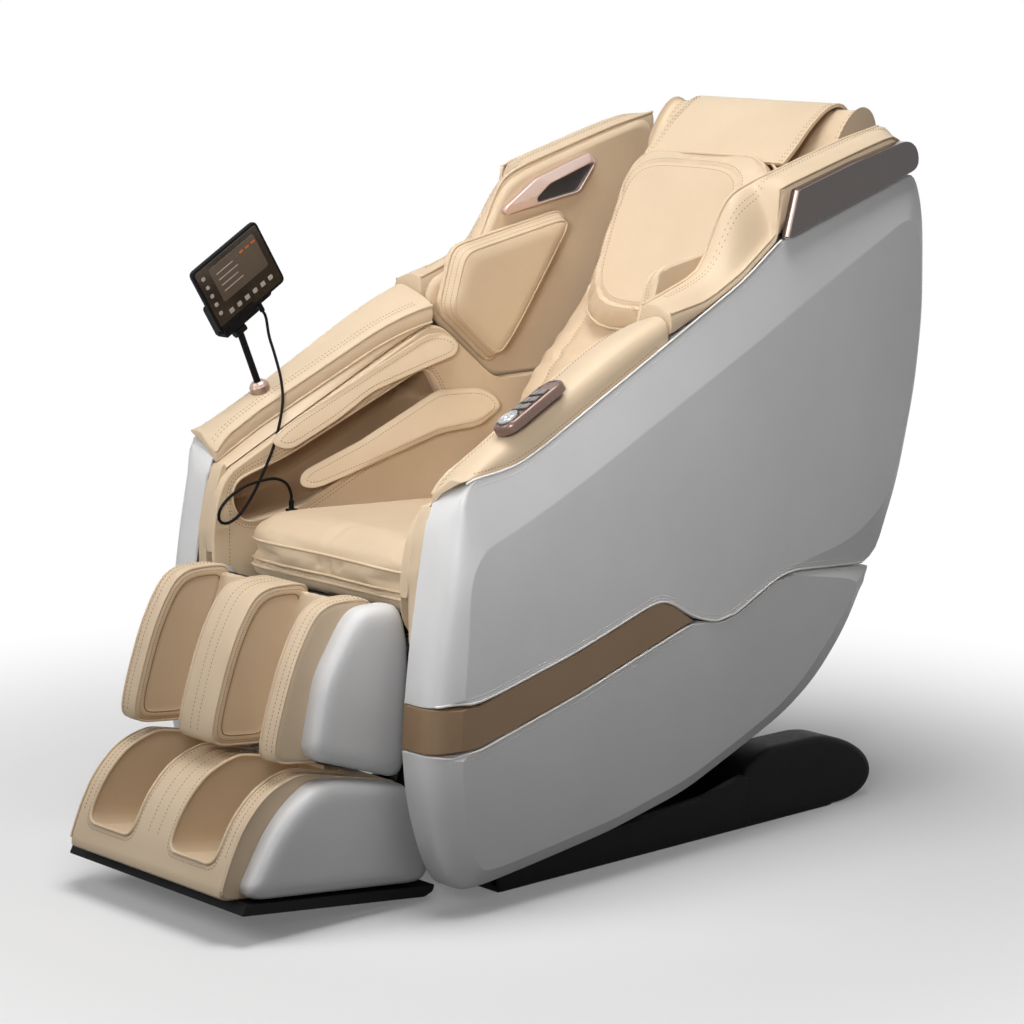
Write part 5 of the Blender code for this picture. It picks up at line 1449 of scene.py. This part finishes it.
for name, outline, node_end, hinge in (
        ("upper_flap", UPPER_FLAP, "upper_airbag", [(0.088, 0.686), (0.470, 0.826)]),
        ("lower_flap", LOWER_FLAP, "lower_airbag", [(0.150, 0.619), (0.449, 0.727), (0.582, 0.727)])):
    edge = even(rounded(outline, 0.014), 0.006, True)
    form = layered(edge, [(d, LINING_IN - 0.0004 - h) for d, h in FLAP_ROWS])
    for vert in form.verts:
        vert.co = stand_off(vert.co, hinge)
    form.normal_update()
    hem = [at(0.1, y, z) for y, z in drawn_in(edge, 0.0075)]
    stitch(laid(form, hem, TO_SIDE, 0.006, True), "chassis", both=True)
    rim = [stand_off(at(LINING_IN - 0.0042, y, z), hinge) for y, z in drawn_in(edge, 0.0005)]
    pipe(rim, 0.0019, "chassis", closed=True, both=True)
    show_pair(name, form, "beige_leather", "chassis", node_end)

# %% [markdown]
# ## Wings
# The wing is a padded wall beside the head, with a crown rolled over the shell's top edge. On it sit a
# two-layer shoulder pad and a loudspeaker behind a dark grille in a bright frame.

# %% Wing pads
WING_FACE = [(0.4555, 0.853), (0.480, 0.842), (0.590, 0.738), (0.600, 0.731), (0.790, 0.731, 0.006),
             (0.830, 0.800), (0.930, 1.000), (0.985, 1.085), (1.010, 1.114), (1.004, 1.150), (0.985, 1.174),
             (0.861, 1.142), (0.700, 1.096), (0.640, 1.072), (0.610, 1.024), (0.582, 0.972), (0.560, 0.955),
             (0.4555, 0.908)]
WING_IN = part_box("left_wing_pad")[0].x
wing_outline = even(rounded(WING_FACE, 0.03), 0.010, True)
wing_rows = [(0.003, SHELL_IN - 0.0005), (0.0, SHELL_IN - 0.004), (0.0, SHELL_IN - 0.009),
             (0.002, SHELL_IN - 0.013), (0.006, WING_IN + 0.0020), (0.011, WING_IN)]
wing = layered(wing_outline, wing_rows)
CROWN = [(0.440, 0.914), (0.520, 0.940), (0.585, 0.963), (0.603, 0.978), (0.630, 1.034), (0.652, 1.074),
         (0.675, 1.092), (0.720, 1.108), (0.861, 1.147), (0.940, 1.168), (1.040, 1.188)]
CROWN_SKEW = 0.020                                      # the wing starts further forward on its inner side
CROWN_Y = [(0.4456, 0), (0.449, 0), (0.48, 0), (0.52, 0), (0.55, 0), (0.575, 0), (0.590, 0), (0.602, 0),
           (0.614, 0), (0.626, 0), (0.638, 0), (0.650, 0), (0.665, 0), (0.680, 0), (0.691, 0), (0.696, 1),
           (0.72, 1), (0.76, 1), (0.81, 1), (0.861, 1), (0.91, 1), (0.95, 1), (0.97, 1), (0.985, 1),
           (0.998, 1), (1.008, 1), (1.012, 1)]


def crown_section(y, behind_trim):
    top = along_line(CROWN, y)
    inner_top = along_line(CROWN, y + CROWN_SKEW)
    foot = (seam_z(y) if y <= 0.697 else seam_z(0.697) + 0.3218 * (y - 0.697)) + 0.0008
    outer = TRIM_IN - 0.0003 if behind_trim else PAD_OUT
    inner = SHELL_IN - 0.008
    top -= 0.030 * max(0, (y - 0.965) / 0.035) ** 2
    if not behind_trim:
        share = min(1, max(0, (y - 0.445) / 0.09))
        top = min(top, foot + 0.045 * (1 - share) + 0.016 * share)
    rise = min(0.012, (top - foot) * 0.6)
    return [(inner, foot), (inner, (foot + inner_top) / 2), (inner, inner_top - 0.012),
            (inner + 0.003, inner_top - 0.004), (SHELL_IN + 0.006, inner_top),
            ((SHELL_IN + outer) / 2, (top + inner_top) / 2 + 0.006), (outer - 0.014, top),
            (outer - 0.004, top - rise / 3), (outer, top - rise), (outer, (foot + top - rise) / 2),
            (outer, foot)]


sections = [(y, crown_section(y, behind)) for y, behind in CROWN_Y]
crown = subdivided(bridged([[at(x, y, z) for x, z in section] for y, section in sections]), 1)
crown_line = [at(section[3][0], y, section[3][1] + 0.001) for y, section in sections[1:-1]]
pipe(crown_line, 0.0026, "chassis", both=True)
outer_line = [at(section[7][0], y, section[7][1]) for y, section in sections[1:-1]]
pipe(outer_line, 0.0022, "chassis", both=True)
for back_by in (0.016, 0.022):
    guide = [at(SHELL_IN + back_by, y, 1.5) for y, _ in CROWN_Y[2:-2]]
    stitch(laid(crown, guide, DOWN), "chassis", both=True)
absorb(wing, crown)
show_pair("wing_cushion", wing, "beige_leather", "chassis", "wing_pad")

# %% Shoulder pads
SHOULDER = [(0.466, 0.860), (0.588, 0.757), (0.640, 0.815), (0.772, 1.000), (0.757, 1.022), (0.500, 0.972)]
PAD_FACE = WING_IN - 0.0003
shoulder_outline = even(rounded(SHOULDER, 0.022), 0.007, True)
SHOULDER_ROWS = [(0.003, 0.0), (0.0, 0.003), (0.0, 0.008), (0.003, 0.012), (0.010, 0.030), (0.0125, 0.0355),
                 (0.017, 0.0392), (0.026, 0.0420), (0.036, 0.0434)]
shoulder = layered(shoulder_outline, [(d, PAD_FACE - h) for d, h in SHOULDER_ROWS])
for gap, height, row_gap, row_height in ((0.0015, 0.0105, 0.005, 0.018), (0.0125, 0.0360, 0.0085, 0.028)):
    edge = [at(PAD_FACE - height, y, z) for y, z in drawn_in(shoulder_outline, gap)]
    pipe(edge, 0.0023, "chassis", closed=True, both=True)
    row = even([at(PAD_FACE - row_height, y, z) for y, z in drawn_in(shoulder_outline, row_gap)], 0.0052,
               True)
    stitch(pinned(shoulder, row), "chassis", length=0.0034, both=True)
show_pair("shoulder_cushion", shoulder, "beige_leather", "chassis", "shoulder_pad")

# %% Speakers
SPEAKER = [(0.629, 1.017), (0.803, 1.046), (0.847, 1.103), (0.829, 1.118), (0.700, 1.078), (0.625, 1.030)]
GRILLE = [(0.700, 1.0345), (0.799, 1.0510), (0.838, 1.0985), (0.829, 1.1015), (0.728, 1.0690),
          (0.696, 1.0450)]
speaker_rows = [(SPEAKER, 0.0), (SPEAKER, 0.0085), (shrunk(SPEAKER, 0.0012), 0.0100),
                (shrunk(GRILLE, -0.002), 0.0145), (GRILLE, 0.0147), (shrunk(GRILLE, 0.0012), 0.0138),
                (shrunk(GRILLE, 0.0018), 0.0055)]
speaker_frame = bridged([in_side_view(rounded(row, 0.007), PAD_FACE - h) for row, h in speaker_rows],
                        close=(True, False))
grille_rows = [(0.0016, 0.0050), (0.0018, 0.0066), (0.006, 0.0070)]
grille = bridged([in_side_view(rounded(shrunk(GRILLE, d), 0.007), PAD_FACE - h) for d, h in grille_rows])
show_pair("speaker_frame", speaker_frame, "pale_rose", "chassis", "speaker")
show_pair("speaker_grille", grille, "speaker_mesh", "chassis")

# %% [markdown]
# ## Tablet
# The tablet is a thin slab with a dark glass front in a black frame. The lit part of the screen is a
# plain taupe panel with generic signs: dots and bars. They are thin plates on the glass, so they
# show from any side.

# %% Tablet body and glass
TABLET_MID = at(-0.306, 0.075, 0.945)
TABLET_W = 0.157
TABLET_H = 0.122
TABLET_T = 0.012


def on_tablet(u, v, w):
    """A point on the tablet: along it, up it, and out from its middle towards the sitter."""
    return TABLET_MID + tablet_tilt @ Vector((0, u, v)) + Vector((w, 0, 0))


HALF_T = TABLET_T / 2
CASE_ROWS = [(0.004, -HALF_T), (0.001, -HALF_T + 0.0015), (0, -HALF_T + 0.004), (0, HALF_T - 0.002),
             (0.0008, HALF_T - 0.0006), (0.0025, HALF_T - 0.0002), (0.0045, HALF_T - 0.0009)]
case = plate(on_tablet, -TABLET_W / 2, TABLET_W / 2, -TABLET_H / 2, TABLET_H / 2, CASE_ROWS, 0.010)
show("tablet_case", case, "black_plastic", "tablet", ("tablet",))
FRAME_W = 0.0045
GLASS_ROWS = [(0, HALF_T - 0.0012), (0.0003, HALF_T - 0.0005), (0.002, HALF_T - 0.0004)]
glass = plate(on_tablet, -TABLET_W / 2 + FRAME_W, TABLET_W / 2 - FRAME_W, -TABLET_H / 2 + FRAME_W,
              TABLET_H / 2 - FRAME_W, GLASS_ROWS, 0.006)
show("tablet_glass", glass, "screen_glass", "tablet")
picture = plate(on_tablet, -0.046, 0.062, -0.018, 0.046, [(0, HALF_T - 0.0006), (0.0002, HALF_T - 0.0001)],
                0.004)
show("tablet_picture", picture, "screen_panel", "tablet")

# %% Signs on the screen
SIGN_ROWS = [(0, HALF_T - 0.0005), (0.0002, HALF_T + 0.0002)]
signs = {"sign_white": [], "sign_orange": []}
for row in range(5):
    signs["sign_white"].append((-0.066, -0.058, 0.036 - row * 0.017, 0.043 - row * 0.017, 0.003))
for column in range(6):
    u = -0.046 + column * 0.019
    signs["sign_white"].append((u, u + 0.010, -0.042, -0.034, 0.0025 if column % 2 else 0.0008))
for column in range(3):
    u = 0.022 + column * 0.014
    signs["sign_orange"].append((u, u + 0.009, 0.032, 0.036, 0.0008))
for row in range(4):
    signs["sign_white"].append((-0.036, 0.004 + 0.006 * (row % 2), 0.030 - row * 0.011, 0.032 - row * 0.011,
                                0.0008))
for look, plates in signs.items():
    joined = bmesh.new()
    for u0, u1, v0, v1, radius in plates:
        absorb(joined, plate(on_tablet, u0, u1, v0, v1, SIGN_ROWS, radius))
    show(f"tablet_{look}", joined, look, "tablet")

# %% [markdown]
# ## Key pod
# On the near arm lies an oval bronze pod with a dial that can be pressed, and rows of dark keys. The oval
# is bridged from shrunk copies of itself, over its rim and down inside, so the pod is a cup. A deck with
# a hole for the dial lies in it. The dial is a profile spun about its axis.

# %% Pod frame
POD_LEN = 0.140
POD_W = 0.055
POD_H = 0.016
POD_ALONG = Vector((0, 1, 0.5255)).normalized()
POD_UP = Vector((-0.25, -0.5255, 1)).normalized()
POD_ACROSS = POD_ALONG.cross(POD_UP)
POD_SEAT = at(0.325, 0.165, arm_z(0.165, 0.325)) + POD_UP * 0.0033
DIAL_AT = -POD_LEN / 2 + POD_W / 2
DIAL_R = 0.018


def on_pod(u, v, h):
    return POD_SEAT + POD_ALONG * u + POD_ACROSS * v + POD_UP * h


def spun(profile, middle):
    """A profile of radius and height, spun about the pod's normal through a place along the pod."""
    bm = bmesh.new()
    verts = [bm.verts.new(on_pod(middle + r, 0, h)) for r, h in profile]
    edges = [bm.edges.new(pair) for pair in zip(verts, verts[1:])]
    bmesh.ops.spin(bm, geom=verts + edges, cent=on_pod(middle, 0, 0), axis=POD_UP, angle=2 * math.pi,
                   steps=32, use_merge=True)
    bmesh.ops.remove_doubles(bm, verts=bm.verts, dist=1e-6)
    bmesh.ops.recalc_face_normals(bm, faces=bm.faces)
    return bm


body_rows = [(0, 0), (0, POD_H * 0.55), (0.0008, POD_H * 0.78), (0.0025, POD_H * 0.94), (0.0045, POD_H),
             (0.0060, POD_H - 0.0003), (0.0066, POD_H - 0.0012), (0.0067, 0.004), (0.0085, 0.004)]
pod = plate(on_pod, -POD_LEN / 2, POD_LEN / 2, -POD_W / 2, POD_W / 2, body_rows, 0.0272, 6)
POD_RIM = 0.0068
DECK_ROWS = [(0, POD_H - 0.004), (0, POD_H - 0.0018), (0.0006, POD_H - 0.0014)]
deck = plate(on_pod, -POD_LEN / 2 + POD_RIM, POD_LEN / 2 - POD_RIM, -POD_W / 2 + POD_RIM, POD_W / 2 - POD_RIM,
             DECK_ROWS, 0.0205, 6)
WELL_R = DIAL_R + 0.0008
dial_well = spun([(0.0, POD_H - 0.010), (WELL_R, POD_H - 0.010), (WELL_R, POD_H + 0.010),
                  (0.0, POD_H + 0.010)], DIAL_AT)
deck = cut_by(deck, [dial_well])
print("pod", len(pod.faces), "deck", len(deck.faces))
show("pod_body", pod, "pod_bronze", "chassis", ("control_pod",))
show("pod_deck", deck, "pod_bronze", "chassis")

# %% Dial and keys
DIAL_TOP = POD_H + 0.004
dial_profile = [(0.0, POD_H - 0.005), (DIAL_R, POD_H - 0.005), (DIAL_R, DIAL_TOP - 0.0012),
                (DIAL_R - 0.001, DIAL_TOP), (DIAL_R - 0.003, DIAL_TOP),
                (DIAL_R - 0.0036, DIAL_TOP - 0.0010), (DIAL_R - 0.0062, DIAL_TOP - 0.0010),
                (DIAL_R - 0.0068, DIAL_TOP - 0.0002), (0.0085, DIAL_TOP - 0.0002),
                (0.0078, DIAL_TOP - 0.0014), (0.0, DIAL_TOP - 0.0016)]
show("pod_dial", spun(dial_profile, DIAL_AT), "bright_steel", "dial", ("dial",))
KEY_FIRST = DIAL_AT + DIAL_R + 0.014
KEY_STEP = 0.020
KEY_HALF = 0.0075
KEY_ROWS = [(0, POD_H - 0.003), (0, POD_H + 0.0009), (0.0006, POD_H + 0.0017), (0.002, POD_H + 0.002)]
for row, node_name in enumerate(("front_key", "middle_key", "rear_key")):
    middle = KEY_FIRST + row * KEY_STEP
    pair = bmesh.new()
    for v0, v1 in ((-0.019, -0.0006), (0.0006, 0.019)):
        absorb(pair, plate(on_pod, middle - KEY_HALF, middle + KEY_HALF, v0, v1, KEY_ROWS, 0.003, 6))
    show(f"{node_name}_pair", pair, "brown_gloss", node_name, (node_name,))

# %% [markdown]
# ## Base
# The chair stands on a low black moulding: a flat pan with skirts, and two round lobes at the rear that
# keep it from tipping. Each part is a side outline drawn across with rolled edges.

# %% Base moulding
BASE_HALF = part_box("base_cover")[1].x
LOBE = [(0.70, 0.0), (0.965, 0.0), (1.010, 0.012), (1.033, 0.040), (1.018, 0.076), (0.975, 0.106),
        (0.905, 0.130), (0.753, 0.131), (0.70, 0.100)]
SKIRT = [(0.137, 0.0), (0.72, 0.0), (0.72, 0.095), (0.60, 0.070), (0.137, 0.045)]
HUMP = [(0.60, 0.015), (0.875, 0.015), (0.875, 0.075), (0.84, 0.120), (0.745, 0.160), (0.62, 0.160)]
PAN = [(0.137, 0.0), (0.93, 0.0), (0.93, 0.030), (0.137, 0.030)]

moulding = bmesh.new()
bars = [(PAN, -BASE_HALF + 0.001, BASE_HALF - 0.001, 0.006, 0.003), (HUMP, -0.15, 0.15, 0.04, 0.012)]
for way in (1, -1):
    lobe_x = sorted((way * (BASE_HALF - 0.079), way * BASE_HALF))
    skirt_x = sorted((way * (BASE_HALF - 0.019), way * (BASE_HALF - 0.0004)))
    bars += [(LOBE, *lobe_x, 0.03, 0.012), (SKIRT, *skirt_x, 0.012, 0.004)]
for bar in bars:
    absorb(moulding, rolled_bar(*bar))
for vert in moulding.verts:
    vert.co.z = max(vert.co.z, 0)
show("base_moulding", moulding, "black_plastic", "base", ("base_cover",))

# %% [markdown]
# ## Thread and piping, joined
# All rows of one thread on one body are one piece, as they would be one order at the sewing table.

# %% Joined rows
for (body, look), rows in sewn.items():
    joined = bmesh.new()
    for row in rows:
        joined.from_mesh(row)
        bpy.data.meshes.remove(row)
    show(f"{body}_{look}_rows", joined, look, body, angle=70)
